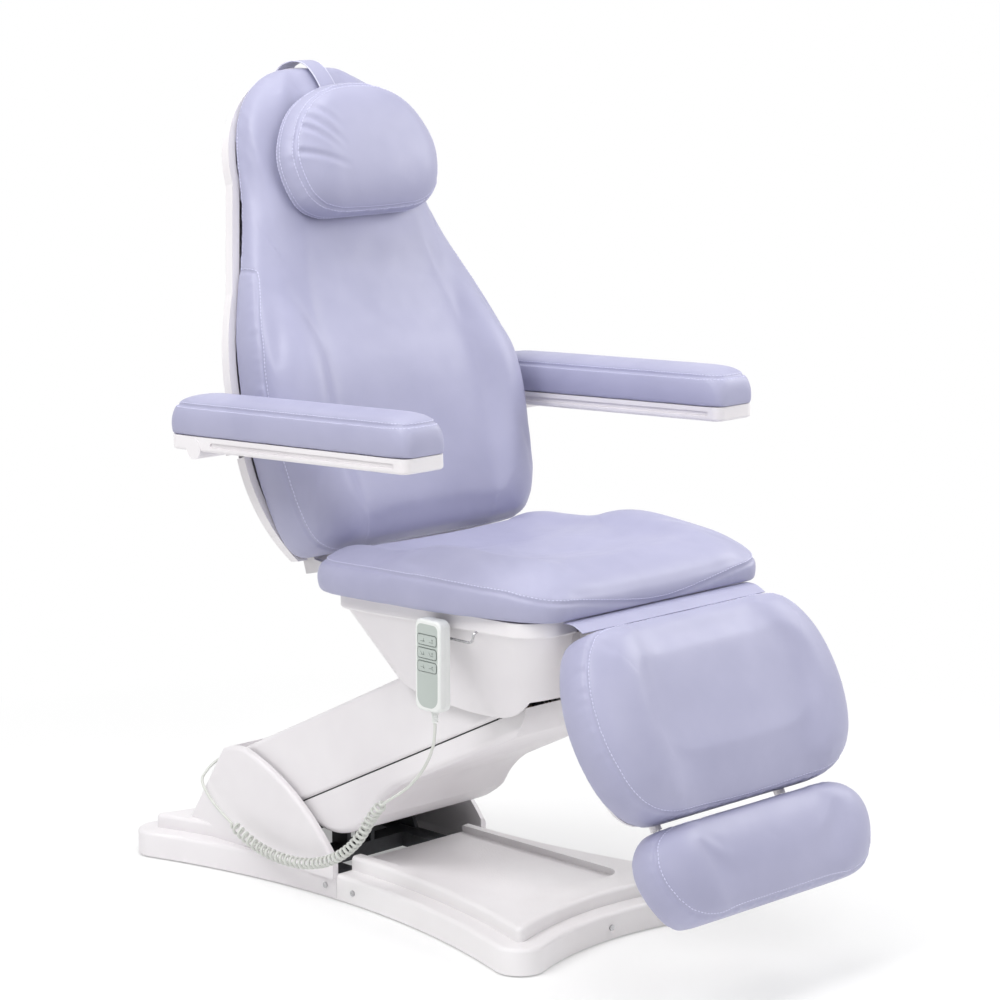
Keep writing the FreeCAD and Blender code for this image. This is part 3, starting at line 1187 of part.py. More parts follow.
def bow(start, way, end):
    """The middle of the arc that leaves start along way and ends at end."""
    chord = end - start
    half = way.getAngle(chord) / 2
    square = (way - chord * (way.dot(chord) / chord.dot(chord)))
    if square.Length < 1e-7:
        raise RuntimeError("a straight stretch has no arc")
    return (start + end) * 0.5 + square.normalize() * (chord.Length / 2 * math.tan(half))


def curly_cord(points):
    """One unbroken tube: straight ends, then curls on biarcs of a half turn."""
    line = smooth_line(points)
    steps = int(value("coil_turns")) * 2
    shares = [RUN_IN + (1 - 2 * RUN_IN) * i / steps for i in range(steps + 1)]
    ends = [line.value(line.FirstParameter), line.value(line.LastParameter)]
    nudge = 1e-4
    spots = [helix_point(line, share) for share in shares]
    ways = [(helix_point(line, share + nudge) - helix_point(line, share - nudge)).normalize()
            for share in shares]
    ways[0], ways[-1] = (spots[0] - ends[0]).normalize(), (ends[1] - spots[-1]).normalize()
    edges = [Part.LineSegment(ends[0], spots[0]).toShape()]
    for index in range(steps):
        edges += biarc(spots[index], ways[index], spots[index + 1], ways[index + 1])
    edges.append(Part.LineSegment(spots[-1], ends[1]).toShape())
    path = Part.Wire(edges)
    print(f"curl gap to itself {self_gap(path):.2f} mm over {path.Length:.0f} mm of cord")
    finish("curly_cord", solid_feature(tube(path, value("cord_round"))))


def self_gap(path):
    """Least clear distance between stretches of the cord that aren't neighbours along it."""
    spacing = value("cord_round")
    points = path.discretize(Distance=spacing)
    apart = int(math.pi * value("cord_round") * 2 / spacing) + 1
    window = int(4 * math.pi * value("coil_round") / spacing)
    least = min((points[i] - points[j]).Length for i in range(len(points))
                for j in range(i + apart, min(i + window, len(points))))
    return least - 2 * value("cord_round")


# Build everything, test it and write the parts

def main():
    base_frame()
    levelling_feet()
    pivot_stand()
    pivot_pins()
    front_base_cover()
    rear_base_cover()
    control_box()
    mains_inlet()
    cord_gland()
    base_cover_screws()
    lift_arm()
    arm_upper_cover()
    arm_lower_cover()
    stabiliser_links()
    lift_actuator()
    seat_frame()
    hinge_pins()
    seat_board()
    seat_housing()
    seat_actuators()
    seat_cushion()
    back_cushion()
    headrest_pillow()
    legrest_cushions()
    back_frame()
    back_shell()
    armrest_brackets()
    armrest("left")
    armrest("right")
    legrest_frame()
    legrest_panels()
    headrest_strap()
    seat_flap()
    handset()
    handset_hook()
    upper, coil, lower = cord_points()
    cord_leads(upper, lower)
    curly_cord(coil)
    doc.recompute()
    for obj in doc.Objects:
        if "Invalid" in obj.State or "Error" in obj.State:
            users = [user.Label for user in obj.InListRecursive]
            raise RuntimeError(f"{obj.Label} failed: {obj.getStatusString()}, used by {users}")
    for piece in pieces:
        if piece.Shape.isNull() or not piece.Shape.isValid():
            raise RuntimeError(f"{piece.Label} has no valid shape")
    os.makedirs("parts", exist_ok=True)
    for piece in pieces:
        piece.Shape.exportStep(f"parts/{piece.Label}.step")
    print(len(pieces), "sub-parts")


main()
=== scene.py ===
import json
import math

import bmesh
import bpy
import numpy as np
from mathutils import Matrix, Vector
from mathutils.bvhtree import BVHTree
from mathutils.kdtree import KDTree
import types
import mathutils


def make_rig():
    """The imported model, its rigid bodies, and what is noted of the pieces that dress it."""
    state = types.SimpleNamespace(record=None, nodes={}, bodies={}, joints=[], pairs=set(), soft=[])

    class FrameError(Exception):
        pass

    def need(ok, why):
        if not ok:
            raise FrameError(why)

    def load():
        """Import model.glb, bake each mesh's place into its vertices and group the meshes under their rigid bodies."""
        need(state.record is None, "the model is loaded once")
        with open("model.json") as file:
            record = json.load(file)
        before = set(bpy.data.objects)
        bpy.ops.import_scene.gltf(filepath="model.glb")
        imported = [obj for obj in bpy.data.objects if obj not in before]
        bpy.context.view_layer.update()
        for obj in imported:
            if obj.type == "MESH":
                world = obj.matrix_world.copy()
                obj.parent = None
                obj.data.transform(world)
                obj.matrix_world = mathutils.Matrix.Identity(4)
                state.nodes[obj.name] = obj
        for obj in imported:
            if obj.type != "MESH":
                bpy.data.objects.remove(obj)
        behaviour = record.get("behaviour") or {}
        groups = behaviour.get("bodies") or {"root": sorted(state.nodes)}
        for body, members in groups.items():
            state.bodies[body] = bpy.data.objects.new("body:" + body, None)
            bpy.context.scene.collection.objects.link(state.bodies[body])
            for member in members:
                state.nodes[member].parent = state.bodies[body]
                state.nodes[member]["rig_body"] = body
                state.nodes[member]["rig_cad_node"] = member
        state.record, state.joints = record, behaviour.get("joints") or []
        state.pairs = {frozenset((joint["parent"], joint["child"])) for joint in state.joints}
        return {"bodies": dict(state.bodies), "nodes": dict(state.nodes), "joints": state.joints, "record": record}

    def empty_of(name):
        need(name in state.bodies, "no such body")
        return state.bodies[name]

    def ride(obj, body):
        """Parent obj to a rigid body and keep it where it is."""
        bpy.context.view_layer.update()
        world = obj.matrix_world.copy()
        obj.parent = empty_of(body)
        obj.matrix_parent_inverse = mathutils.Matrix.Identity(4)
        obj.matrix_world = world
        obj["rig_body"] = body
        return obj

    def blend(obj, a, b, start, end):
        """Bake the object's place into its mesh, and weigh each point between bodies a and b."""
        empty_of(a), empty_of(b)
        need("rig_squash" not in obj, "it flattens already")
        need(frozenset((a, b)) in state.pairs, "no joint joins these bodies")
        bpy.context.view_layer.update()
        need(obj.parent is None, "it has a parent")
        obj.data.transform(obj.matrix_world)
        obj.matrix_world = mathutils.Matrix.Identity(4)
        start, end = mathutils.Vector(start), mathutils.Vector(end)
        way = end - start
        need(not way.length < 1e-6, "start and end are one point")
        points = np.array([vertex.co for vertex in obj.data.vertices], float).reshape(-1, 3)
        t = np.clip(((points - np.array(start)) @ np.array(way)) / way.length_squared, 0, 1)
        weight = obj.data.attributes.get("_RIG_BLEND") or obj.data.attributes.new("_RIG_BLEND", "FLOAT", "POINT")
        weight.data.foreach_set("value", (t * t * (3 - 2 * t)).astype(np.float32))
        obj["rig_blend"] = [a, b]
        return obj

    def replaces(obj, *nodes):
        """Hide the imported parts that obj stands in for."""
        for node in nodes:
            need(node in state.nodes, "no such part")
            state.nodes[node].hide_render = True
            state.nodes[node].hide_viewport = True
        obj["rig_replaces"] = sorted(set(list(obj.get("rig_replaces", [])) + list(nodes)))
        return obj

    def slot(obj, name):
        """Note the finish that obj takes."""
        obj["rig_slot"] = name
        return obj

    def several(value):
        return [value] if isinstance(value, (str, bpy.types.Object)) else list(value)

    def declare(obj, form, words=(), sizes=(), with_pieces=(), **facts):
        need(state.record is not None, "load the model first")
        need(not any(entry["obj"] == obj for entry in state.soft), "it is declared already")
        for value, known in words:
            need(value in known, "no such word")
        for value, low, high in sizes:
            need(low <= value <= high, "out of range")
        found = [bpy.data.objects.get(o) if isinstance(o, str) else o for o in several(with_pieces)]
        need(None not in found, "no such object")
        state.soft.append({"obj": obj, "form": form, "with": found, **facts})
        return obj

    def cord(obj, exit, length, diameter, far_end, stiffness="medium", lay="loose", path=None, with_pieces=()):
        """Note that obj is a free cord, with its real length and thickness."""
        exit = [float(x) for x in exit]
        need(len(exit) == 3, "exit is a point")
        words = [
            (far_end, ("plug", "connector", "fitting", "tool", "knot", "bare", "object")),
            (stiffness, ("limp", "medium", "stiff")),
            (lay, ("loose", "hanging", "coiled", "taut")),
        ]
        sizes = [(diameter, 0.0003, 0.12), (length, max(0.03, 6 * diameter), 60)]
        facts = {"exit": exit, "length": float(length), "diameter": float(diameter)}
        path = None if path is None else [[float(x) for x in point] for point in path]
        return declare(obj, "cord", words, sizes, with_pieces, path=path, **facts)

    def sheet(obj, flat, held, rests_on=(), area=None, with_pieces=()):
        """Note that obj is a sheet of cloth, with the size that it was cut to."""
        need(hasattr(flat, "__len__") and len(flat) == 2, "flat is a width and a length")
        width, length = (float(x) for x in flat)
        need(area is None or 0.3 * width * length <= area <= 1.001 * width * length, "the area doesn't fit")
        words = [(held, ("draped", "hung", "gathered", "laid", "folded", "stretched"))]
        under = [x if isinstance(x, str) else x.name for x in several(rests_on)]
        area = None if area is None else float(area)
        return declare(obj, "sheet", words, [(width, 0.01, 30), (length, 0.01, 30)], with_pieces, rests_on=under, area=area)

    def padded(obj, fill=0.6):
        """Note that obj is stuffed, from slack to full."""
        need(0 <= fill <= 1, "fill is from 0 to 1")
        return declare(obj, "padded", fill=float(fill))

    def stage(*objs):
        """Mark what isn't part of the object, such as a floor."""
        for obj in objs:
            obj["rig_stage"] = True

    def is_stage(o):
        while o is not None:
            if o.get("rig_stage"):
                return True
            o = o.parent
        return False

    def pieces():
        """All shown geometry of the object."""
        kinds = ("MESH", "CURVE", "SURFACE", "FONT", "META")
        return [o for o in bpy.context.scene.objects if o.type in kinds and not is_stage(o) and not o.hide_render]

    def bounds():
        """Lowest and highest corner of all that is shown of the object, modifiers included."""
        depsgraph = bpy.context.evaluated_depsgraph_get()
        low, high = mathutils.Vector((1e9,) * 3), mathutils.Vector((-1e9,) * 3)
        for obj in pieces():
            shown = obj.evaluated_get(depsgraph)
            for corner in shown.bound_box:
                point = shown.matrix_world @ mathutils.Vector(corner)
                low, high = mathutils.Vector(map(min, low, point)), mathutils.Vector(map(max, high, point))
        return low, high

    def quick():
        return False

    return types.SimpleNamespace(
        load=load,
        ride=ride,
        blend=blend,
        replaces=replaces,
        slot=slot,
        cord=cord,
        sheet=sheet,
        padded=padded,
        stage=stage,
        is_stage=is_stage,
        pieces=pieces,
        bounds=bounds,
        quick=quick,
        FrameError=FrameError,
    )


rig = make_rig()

# Looks of the electric facial bed: upholstery, curly cord, hand control and finishes
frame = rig.load()
cad_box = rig.bounds()
scene = bpy.context.scene
scene.view_settings.view_transform = "Standard"

MM = 0.001
ACROSS = Vector((1, 0, 0))
UP = Vector((0, 0, 1))
WHITE = (1, 1, 1, 1)
JOINTS = {joint["name"]: joint for joint in frame["joints"]}

# Points in millimetres are points of the bed's layout, whose origin is here in the frame
LAYOUT = Vector((0, 1.9 * MM, 0))


def spots(*rows):
    """Points of the layout in millimetres, as points of the frame."""
    return [Vector(row) * MM + LAYOUT for row in rows]


def link(name, data):
    """A new object in the scene."""
    piece = bpy.data.objects.new(name, data)
    scene.collection.objects.link(piece)
    return piece


# Camera at the photograph's viewing angle
AZIMUTH, ELEVATION = math.radians(-44.8), math.radians(10.6)
DISTANCE, LENS, SENSOR = 5.3, 114.5, 36
AIM = Vector((0.121, 0.0939, 0.65))


def photo_camera():
    level = math.cos(ELEVATION)
    away = Vector((math.sin(AZIMUTH) * level, -math.cos(AZIMUTH) * level, math.sin(ELEVATION)))
    data = bpy.data.cameras.new("camera")
    data.lens = LENS
    data.sensor_width = SENSOR
    camera = link("camera", data)
    camera.location = AIM + away * DISTANCE
    camera.rotation_euler = away.to_track_quat("Z", "Y").to_euler()
    scene.camera = camera


photo_camera()


# Node materials

# Most values of a texture lie between these two
TEXTURE_LOW, TEXTURE_HIGH = 0.3, 0.7


def srgb(red, green, blue):
    """A screen colour that isn't near black, as the linear colour that shaders use."""
    return tuple(((part / 255 + 0.055) / 1.055) ** 2.4 for part in (red, green, blue)) + (1,)


class Finish:
    """A material made of nodes: textures read at the object's own place, one shader."""

    def __init__(self, name, **sockets):
        self.material = bpy.data.materials.new(name)
        self.material.use_nodes = True
        self.tree = self.material.node_tree
        self.shader = self.tree.nodes["Principled BSDF"]
        for socket, number in sockets.items():
            self.shader.inputs[socket.replace("_", " ")].default_value = number
        self.place = self.tree.nodes.new("ShaderNodeTexCoord").outputs["Object"]

    def add(self, kind, settings=None, **inputs):
        """A new node with its settings, and its inputs fed by other nodes or numbers."""
        node = self.tree.nodes.new(kind)
        for key, choice in (settings or {}).items():
            setattr(node, key, choice)
        for socket, source in inputs.items():
            self.feed(node.inputs[socket.replace("_", " ")], source)
        return node

    def feed(self, socket, source):
        if isinstance(source, bpy.types.NodeSocket):
            self.tree.links.new(source, socket)
        else:
            socket.default_value = source

    def noise(self, scale, detail=2.0):
        node = self.add("ShaderNodeTexNoise", Vector=self.place, Scale=scale, Detail=detail)
        return node.outputs["Fac"]

    def cells(self, scale):
        """Soft round cells, as in the grain of leather."""
        node = self.add("ShaderNodeTexVoronoi", {"feature": "SMOOTH_F1"}, Vector=self.place, Scale=scale)
        return node.outputs["Distance"]

    def span(self, source, low, high, start, end):
        """From low to high while the source goes from start to end."""
        node = self.add("ShaderNodeMapRange", Value=source, From_Min=start, From_Max=end,
                        To_Min=low, To_Max=high)
        return node.outputs["Result"]

    def colour(self, source, first, second):
        """Shade the base colour between two colours by a texture."""
        ramp = self.add("ShaderNodeValToRGB", Fac=source)
        stops = zip(ramp.color_ramp.elements, (TEXTURE_LOW, TEXTURE_HIGH), (first, second))
        for stop, place, shade in stops:
            stop.position = place
            stop.color = shade
        self.feed(self.shader.inputs["Base Color"], ramp.outputs["Color"])

    def roughness(self, source, low, high):
        gloss = self.span(source, low, high, TEXTURE_LOW, TEXTURE_HIGH)
        self.feed(self.shader.inputs["Roughness"], gloss)

    def bump(self, source, strength, distance):
        """Add a relief on top of the ones that are there."""
        node = self.add("ShaderNodeBump", Height=source, Strength=strength, Distance=distance)
        last = self.shader.inputs["Normal"]
        if last.is_linked:
            self.feed(node.inputs["Normal"], last.links[0].from_socket)
        self.feed(last, node.outputs["Normal"])


def vinyl():
    """Soft upholstery vinyl: fine leather grain and an uneven satin gloss."""
    finish = Finish("lilac_vinyl", Coat_Weight=0.06, Coat_Roughness=0.4)
    finish.colour(finish.noise(9, 3), srgb(161, 161, 188), srgb(170, 170, 196))
    finish.roughness(finish.noise(30, 4), 0.44, 0.54)
    finish.bump(finish.cells(750), strength=0.14, distance=0.4 * MM)
    finish.bump(finish.noise(60, 3), strength=0.05, distance=1.5 * MM)
    return finish.material


def thread():
    """Sewing thread with a fibrous relief."""
    finish = Finish("lilac_thread", Roughness=0.6)
    finish.colour(finish.noise(900), srgb(200, 200, 226), srgb(216, 216, 238))
    finish.bump(finish.noise(2600), strength=0.4, distance=0.2 * MM)
    return finish.material


def moulded(name, dark, light, low=0.34, high=0.46, grain=1400, strength=0.06):
    """Injection-moulded plastic: a fine spark grain and a faint uneven gloss."""
    finish = Finish(name)
    finish.colour(finish.noise(5, 3), dark, light)
    finish.roughness(finish.noise(45, 4), low, high)
    finish.bump(finish.noise(grain), strength, distance=0.3 * MM)
    return finish.material


def pebbled():
    """White plastic with a pebbled grain on the faces that look up."""
    finish = Finish("white_pebbled")
    finish.colour(finish.noise(5, 3), srgb(236, 233, 234), srgb(244, 242, 243))
    finish.roughness(finish.noise(45, 4), 0.36, 0.5)
    normal = finish.add("ShaderNodeNewGeometry").outputs["Normal"]
    upright = finish.add("ShaderNodeSeparateXYZ", Vector=normal).outputs["Z"]
    level = finish.span(upright, 0.0, 0.4, start=0.93, end=0.99)
    finish.bump(finish.cells(330), strength=level, distance=0.8 * MM)
    return finish.material


def steel(name, dark, light, metallic, low, high):
    """Steel, bare or under a powder coat, with a fine uneven surface."""
    finish = Finish(name, Metallic=metallic)
    finish.colour(finish.noise(40, 5), dark, light)
    finish.roughness(finish.noise(180, 4), low, high)
    finish.bump(finish.noise(700, 3), strength=0.06, distance=0.3 * MM)
    return finish.material


def board():
    """Plain pressed wood."""
    finish = Finish("board", Roughness=0.8)
    finish.colour(finish.noise(260, 6), srgb(150, 122, 88), srgb(190, 160, 120))
    finish.bump(finish.noise(500, 4), strength=0.3, distance=0.4 * MM)
    return finish.material


def webbing():
    """Woven binding with threads across its length."""
    finish = Finish("webbing", Roughness=0.7)
    settings = {"wave_type": "BANDS", "bands_direction": "X"}
    wave = finish.add("ShaderNodeTexWave", settings, Vector=finish.place, Scale=260.0, Distortion=0.6)
    weave = wave.outputs["Fac"]
    finish.colour(weave, srgb(206, 206, 226), srgb(232, 232, 244))
    finish.bump(weave, strength=0.5, distance=0.4 * MM)
    return finish.material


MATERIALS = {
    "lilac_vinyl": vinyl(),
    "white_plastic": moulded("white_plastic", srgb(226, 222, 225), srgb(236, 233, 235)),
    "grey_plastic": moulded("grey_plastic", srgb(120, 120, 124), srgb(140, 140, 144)),
    "white_pebbled": pebbled(),
    "dark_steel": steel("dark_steel", srgb(84, 85, 88), srgb(104, 105, 109), 0.2, 0.42, 0.6),
    "white_steel": steel("white_steel", srgb(222, 219, 221), srgb(232, 229, 231), 0.0, 0.34, 0.46),
    "bright_steel": steel("bright_steel", srgb(176, 176, 178), srgb(204, 204, 206), 1.0, 0.2, 0.34),
    "foot_rubber": moulded("foot_rubber", srgb(40, 40, 42), srgb(54, 54, 56), 0.6, 0.75, 500, 0.25),
    "board": board(),
    "webbing": webbing(),
    "cord_skin": moulded("cord_skin", srgb(204, 206, 201), srgb(218, 220, 214), 0.36, 0.46),
    "handset_shell": moulded("handset_shell", srgb(222, 224, 222), srgb(232, 234, 232), 0.32, 0.42),
    "key_face": moulded("key_face", srgb(174, 182, 178), srgb(184, 192, 187), 0.4, 0.5, 2200),
    "sign_print": moulded("sign_print", srgb(84, 92, 90), srgb(104, 112, 109), 0.5, 0.6),
    "thread": thread(),
}

# Solids with another finish than their slot, and finishes of this scene with the slot they belong to
OWN_FINISH = {"front_base_cover": "white_pebbled"}
OWN_SLOT = {"thread": "lilac_vinyl", "sign_print": "key_face"}

for row in frame["record"]["subparts"]:
    mesh = frame["nodes"][row["node"]].data
    mesh.materials.clear()
    mesh.materials.append(MATERIALS[OWN_FINISH.get(row["node"], row["material_slot"])])


def dress(piece, slot):
    """Give a piece its finish and say which slot of the record it belongs to."""
    piece.data.materials.clear()
    piece.data.materials.append(MATERIALS[slot])
    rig.slot(piece, OWN_SLOT.get(slot, slot))


# Round lines and skins over rings of points

def round_curve(name, radius, roundness):
    """A curve without points yet, round where it has a radius."""
    curve = bpy.data.curves.new(name, "CURVE")
    curve.dimensions = "3D"
    curve.bevel_depth = radius
    curve.bevel_resolution = roundness
    curve.use_fill_caps = True
    return curve


def add_spline(curve, kind, points):
    spline = curve.splines.new(kind)
    spline.points.add(len(points) - 1)
    for spot, point in zip(spline.points, points):
        spot.co = (*point, 1)
    return spline


def nurbs(name, points, radius, steps):
    """A smooth line with these points as its control points."""
    curve = round_curve(name, radius, roundness=3)
    spline = add_spline(curve, "NURBS", points)
    spline.order_u = 3
    spline.use_endpoint_u = True
    spline.resolution_u = steps
    return link(name, curve)


def meshed(guide):
    """The mesh of a curve's object, which is then removed."""
    mesh = bpy.data.meshes.new_from_object(guide)
    bpy.data.objects.remove(guide)
    return mesh


def line_of(name, points, steps):
    """The points along a smooth line."""
    mesh = meshed(nurbs(name, points, 0.0, steps))
    along = [vertex.co.copy() for vertex in mesh.vertices]
    bpy.data.meshes.remove(mesh)
    return along


def tube(name, points, radius, steps):
    """A mesh tube along a smooth line, and the points that it follows."""
    mesh = meshed(nurbs(name + "_line", points, radius, steps))
    mesh.shade_smooth()
    return link(name, mesh), line_of(name + "_guide", points, steps)


def length_of(line):
    """The length of a line of points."""
    return sum((after - before).length for before, after in zip(line, line[1:]))


def measured(line):
    """A line's length, and the function that gives its point at a length from its start."""
    places = np.array(line)
    reach = np.concatenate([[0], np.cumsum(np.linalg.norm(np.diff(places, axis=0), axis=1))])

    def at(length):
        return Vector([np.interp(length, reach, places[:, axis]) for axis in range(3)])

    return reach[-1], at


def spaced(line, step):
    """The same closed line with points at even steps."""
    length, at = measured(line + line[:1])
    count = max(3, round(length / step))
    return [at(mark) for mark in np.linspace(0, length, count + 1)[:-1]]


def with_neighbours(line):
    """Each point of a closed line between the one before and the one after."""
    return zip(line[-1:] + line[:-1], line, line[1:] + line[:1])


def skin(first, rows, count):
    """Faces over rows of points, each a closed ring of the same count, with a cap on both ends."""
    faces = []
    for start in range(first, first + (rows - 1) * count, count):
        for step in range(count):
            here, there = start + step, start + (step + 1) % count
            faces.append((here, there, there + count, here + count))
    low = tuple(range(first, first + count))
    high = tuple(index + (rows - 1) * count for index in low)
    return faces + [low[::-1], high]


def solid(name, places, faces, smooth=True):
    """A new piece from points and faces."""
    mesh = bpy.data.meshes.new(name)
    mesh.from_pydata(places, [], faces)
    if smooth:
        mesh.shade_smooth()
    return link(name, mesh)


# Curly cord: lead from the handset, coil and lead to the gland
CORD_ROUND, COIL_ROUND = 2.5 * MM, 7.5 * MM
COIL_TURNS, COIL_PER_TURN = 38, 14
# Turns over which the curl grows, and shares of the coil that stay straight and that give its direction
COIL_RUN_IN, COIL_STRAIGHT, COIL_LOOK = 1.2, 0.012, 0.004
LEAD_STEPS, CENTRE_STEPS, CURL_STEPS = 12, 40, 3

UPPER_LEAD = spots(
    (-275, -165, 390), (-275, -165, 366), (-271, -153, 336), (-267, -127, 300), (-262, -91, 267),
    (-255, -55, 245), (-248, -23, 227))
COIL = spots(
    (-248, -23, 227), (-241.7, 5.8, 210.8), (-232, 60, 140), (-222, 130, 92), (-212, 210, 64),
    (-207, 290, 58), (-203, 355, 66), (-201, 402, 84), (-200, 424, 94))
LOWER_LEAD = spots(
    (-200, 424, 94), (-199, 446, 104), (-199, 468, 118), (-197, 489, 134), (-190, 508, 147),
    (-166, 524, 154), (-132, 545, 158), (-94, 562, 160), (-60, 557.1, 156.2), (-60, 529.5, 138.2))


def curl(line, start, end):
    """Points of the curl between two shares of the coil's length."""
    length, at = measured(line)
    points = []
    count = round((end - start) * COIL_TURNS * COIL_PER_TURN)
    for step in range(count + 1):
        share = start + (end - start) * step / count
        ahead, behind = min(share + COIL_LOOK, 1), max(share - COIL_LOOK, 0)
        along = (at(ahead * length) - at(behind * length)).normalized()
        sideways = (ACROSS - along * along.x).normalized()
        above = along.cross(sideways)
        inner = min(max((share - COIL_STRAIGHT) / (1 - 2 * COIL_STRAIGHT), 0), 1)
        angle = 2 * math.pi * COIL_TURNS * inner
        grown = min(1, min(inner, 1 - inner) * COIL_TURNS / COIL_RUN_IN)
        size = COIL_ROUND * grown * grown * (3 - 2 * grown)
        around = sideways * (size * math.cos(angle)) + above * (size * math.sin(angle))
        points.append(at(share * length) + around)
    return points


def curly_cord():
    upper, upper_line = tube("cord_lead_to_handset", UPPER_LEAD, CORD_ROUND, LEAD_STEPS)
    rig.blend(upper, "carriage", "handset", start=UPPER_LEAD[-1], end=UPPER_LEAD[0])
    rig.replaces(upper, "cord_upper_lead")
    lower, lower_line = tube("cord_lead_to_gland", LOWER_LEAD, CORD_ROUND, LEAD_STEPS)
    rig.ride(lower, "base")
    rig.replaces(lower, "cord_lower_lead")
    centre = line_of("coil_centre", COIL, CENTRE_STEPS)
    middle = centre[len(centre) // 2]
    high, high_line = tube("curly_cord_upper_half", curl(centre, 0, 0.5), CORD_ROUND, CURL_STEPS)
    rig.blend(high, "carriage", "lift_arm", start=COIL[0], end=middle)
    low, low_line = tube("curly_cord_lower_half", curl(centre, 0.5, 1), CORD_ROUND, CURL_STEPS)
    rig.blend(low, "lift_arm", "base", start=middle, end=COIL[-1])
    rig.replaces(high, "curly_cord")
    for piece, line, lay in ((upper, upper_line, "hanging"), (high, high_line, "hanging"),
                             (low, low_line, "loose"), (lower, lower_line, "loose")):
        dress(piece, "cord_skin")
        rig.cord(piece, exit=line[0], length=length_of(line), diameter=2 * CORD_ROUND, far_end="object",
                stiffness="limp", lay=lay, path=line)


curly_cord()


# Frames of the padded pieces: across, along and out of the backing

# Degrees about the bed's width
SEAT_TILT, BACK_LEAN, LEG_HANG, ARMREST_TILT = -2, -17.4, 62, -2.6
SEAT_REAR, BACK_FOOT = spots((0, 56, 553), (0, 118, 606))
# Depth of the planes that carry the back's and the pillow's pads, behind the back's front line
BACK_DEPTH, PILLOW_DEPTH = 98 * MM, 16 * MM
# How far out of the places where their frames start the boards of these pads lie
SEAT_BOARD, LEG_BOARD, ARMREST_BOARD = 1 * MM, -14 * MM, 20 * MM


def stand(place, turn, out=0.0):
    """A frame at a place, turned by degrees about the bed's width and raised to the backing."""
    turned = Matrix.Translation(Vector(place)) @ Matrix.Rotation(math.radians(turn), 4, "X")
    return turned @ Matrix.Translation((0, 0, out))


def facing_front(depth):
    """Across stays, along is up, and out is towards the sitter."""
    return Matrix(((1, 0, 0, 0), (0, 0, -1, depth), (0, 1, 0, 0), (0, 0, 0, 1)))


def at_joint(name, turn, out):
    """The same at a joint's place."""
    return stand(JOINTS[name]["pos_m"], turn, out)


BACK = stand(BACK_FOOT, BACK_LEAN)
STANDS = {
    "seat": stand(SEAT_REAR, SEAT_TILT, SEAT_BOARD),
    "back": BACK @ facing_front(BACK_DEPTH),
    "pillow": BACK @ facing_front(PILLOW_DEPTH),
    "leg": at_joint("leg_raise", LEG_HANG, LEG_BOARD),
    "armrest_left": at_joint("armrest_left_flip", ARMREST_TILT, ARMREST_BOARD),
    "armrest_right": at_joint("armrest_right_flip", ARMREST_TILT, ARMREST_BOARD),
}


# Tools for padded pieces

def settle(piece):
    """Make what the modifiers give the piece's own mesh."""
    graph = bpy.context.evaluated_depsgraph_get()
    mesh = bpy.data.meshes.new_from_object(piece.evaluated_get(graph))
    piece.modifiers.clear()
    piece.data = mesh


def values_of(mesh, key):
    flat = np.empty(len(mesh.vertices) * 3)
    mesh.vertices.foreach_get(key, flat)
    return flat.reshape(-1, 3)


def places_of(mesh):
    return values_of(mesh, "co")


def normals_of(mesh):
    return values_of(mesh, "normal")


def put(mesh, places):
    mesh.vertices.foreach_set("co", places.ravel())
    mesh.update()


def local_to(where, places):
    """Places in a pad's own frame."""
    inward = where.inverted()
    return np.array([inward @ Vector(place) for place in places])


def outward_of(where):
    return np.array(where.to_3x3() @ UP)


def surface_of(piece):
    mesh = piece.data
    return BVHTree.FromPolygons([v.co for v in mesh.vertices], [p.vertices for p in mesh.polygons])


def tree_of(points):
    tree = KDTree(len(points))
    for index, point in enumerate(points):
        tree.insert(point, index)
    tree.balance()
    return tree


def distance_to(lines, places):
    tree = tree_of([point for line in lines for point in line])
    return np.array([tree.find(place)[2] for place in places])


# Seams and stitches

# Rays of a seam, the shares of its size where they start and aim, and the step between its points
RING_RAYS, RING_START, RING_AIM, RING_STEP = 200, 1.6, 0.4, 2 * MM
STITCH_LONG, STITCH_STEP, STITCH_ROUND = 4.8 * MM, 6.4 * MM, 0.8 * MM
STITCH_SIDES = 6
# A stitch from end to end, as shares of its length and of its radius
STITCH_PROFILE = ((-0.5, 0.25), (-0.3, 0.95), (0.3, 0.95), (0.5, 0.25))


def seam(middle, half_wide, half_long, *heights):
    """A seam's middle and half sizes, and its height by the place along the pad, from millimetres."""
    along, tall = np.array(heights).T * MM
    return middle * MM, half_wide * MM, half_long * MM, lambda place: float(np.interp(place, along, tall))


def ring(surface, where, middle, half_wide, half_long, height):
    """A closed seam: rays from all round towards the middle of the pad, each at its height."""
    turn = where.to_3x3()
    line = []
    for step in range(RING_RAYS):
        angle = 2 * math.pi * step / RING_RAYS
        across, along = half_wide * math.cos(angle), half_long * math.sin(angle)
        tall = height(middle + along)
        start = Vector((RING_START * across, middle + RING_START * along, tall))
        target = Vector((0, middle + RING_AIM * along, tall))
        hit = surface.ray_cast(where @ start, turn @ (target - start).normalized())[0]
        if hit is not None:
            line.append(hit)
    return spaced(line, RING_STEP)


def beside(line, surface, gap):
    """A line at a gap from another, on the surface."""
    moved = []
    for before, point, after in with_neighbours(line):
        out = surface.find_nearest(point)[1]
        sideways = out.cross((after - before).normalized())
        moved.append(surface.find_nearest(point + sideways * gap)[0])
    return moved


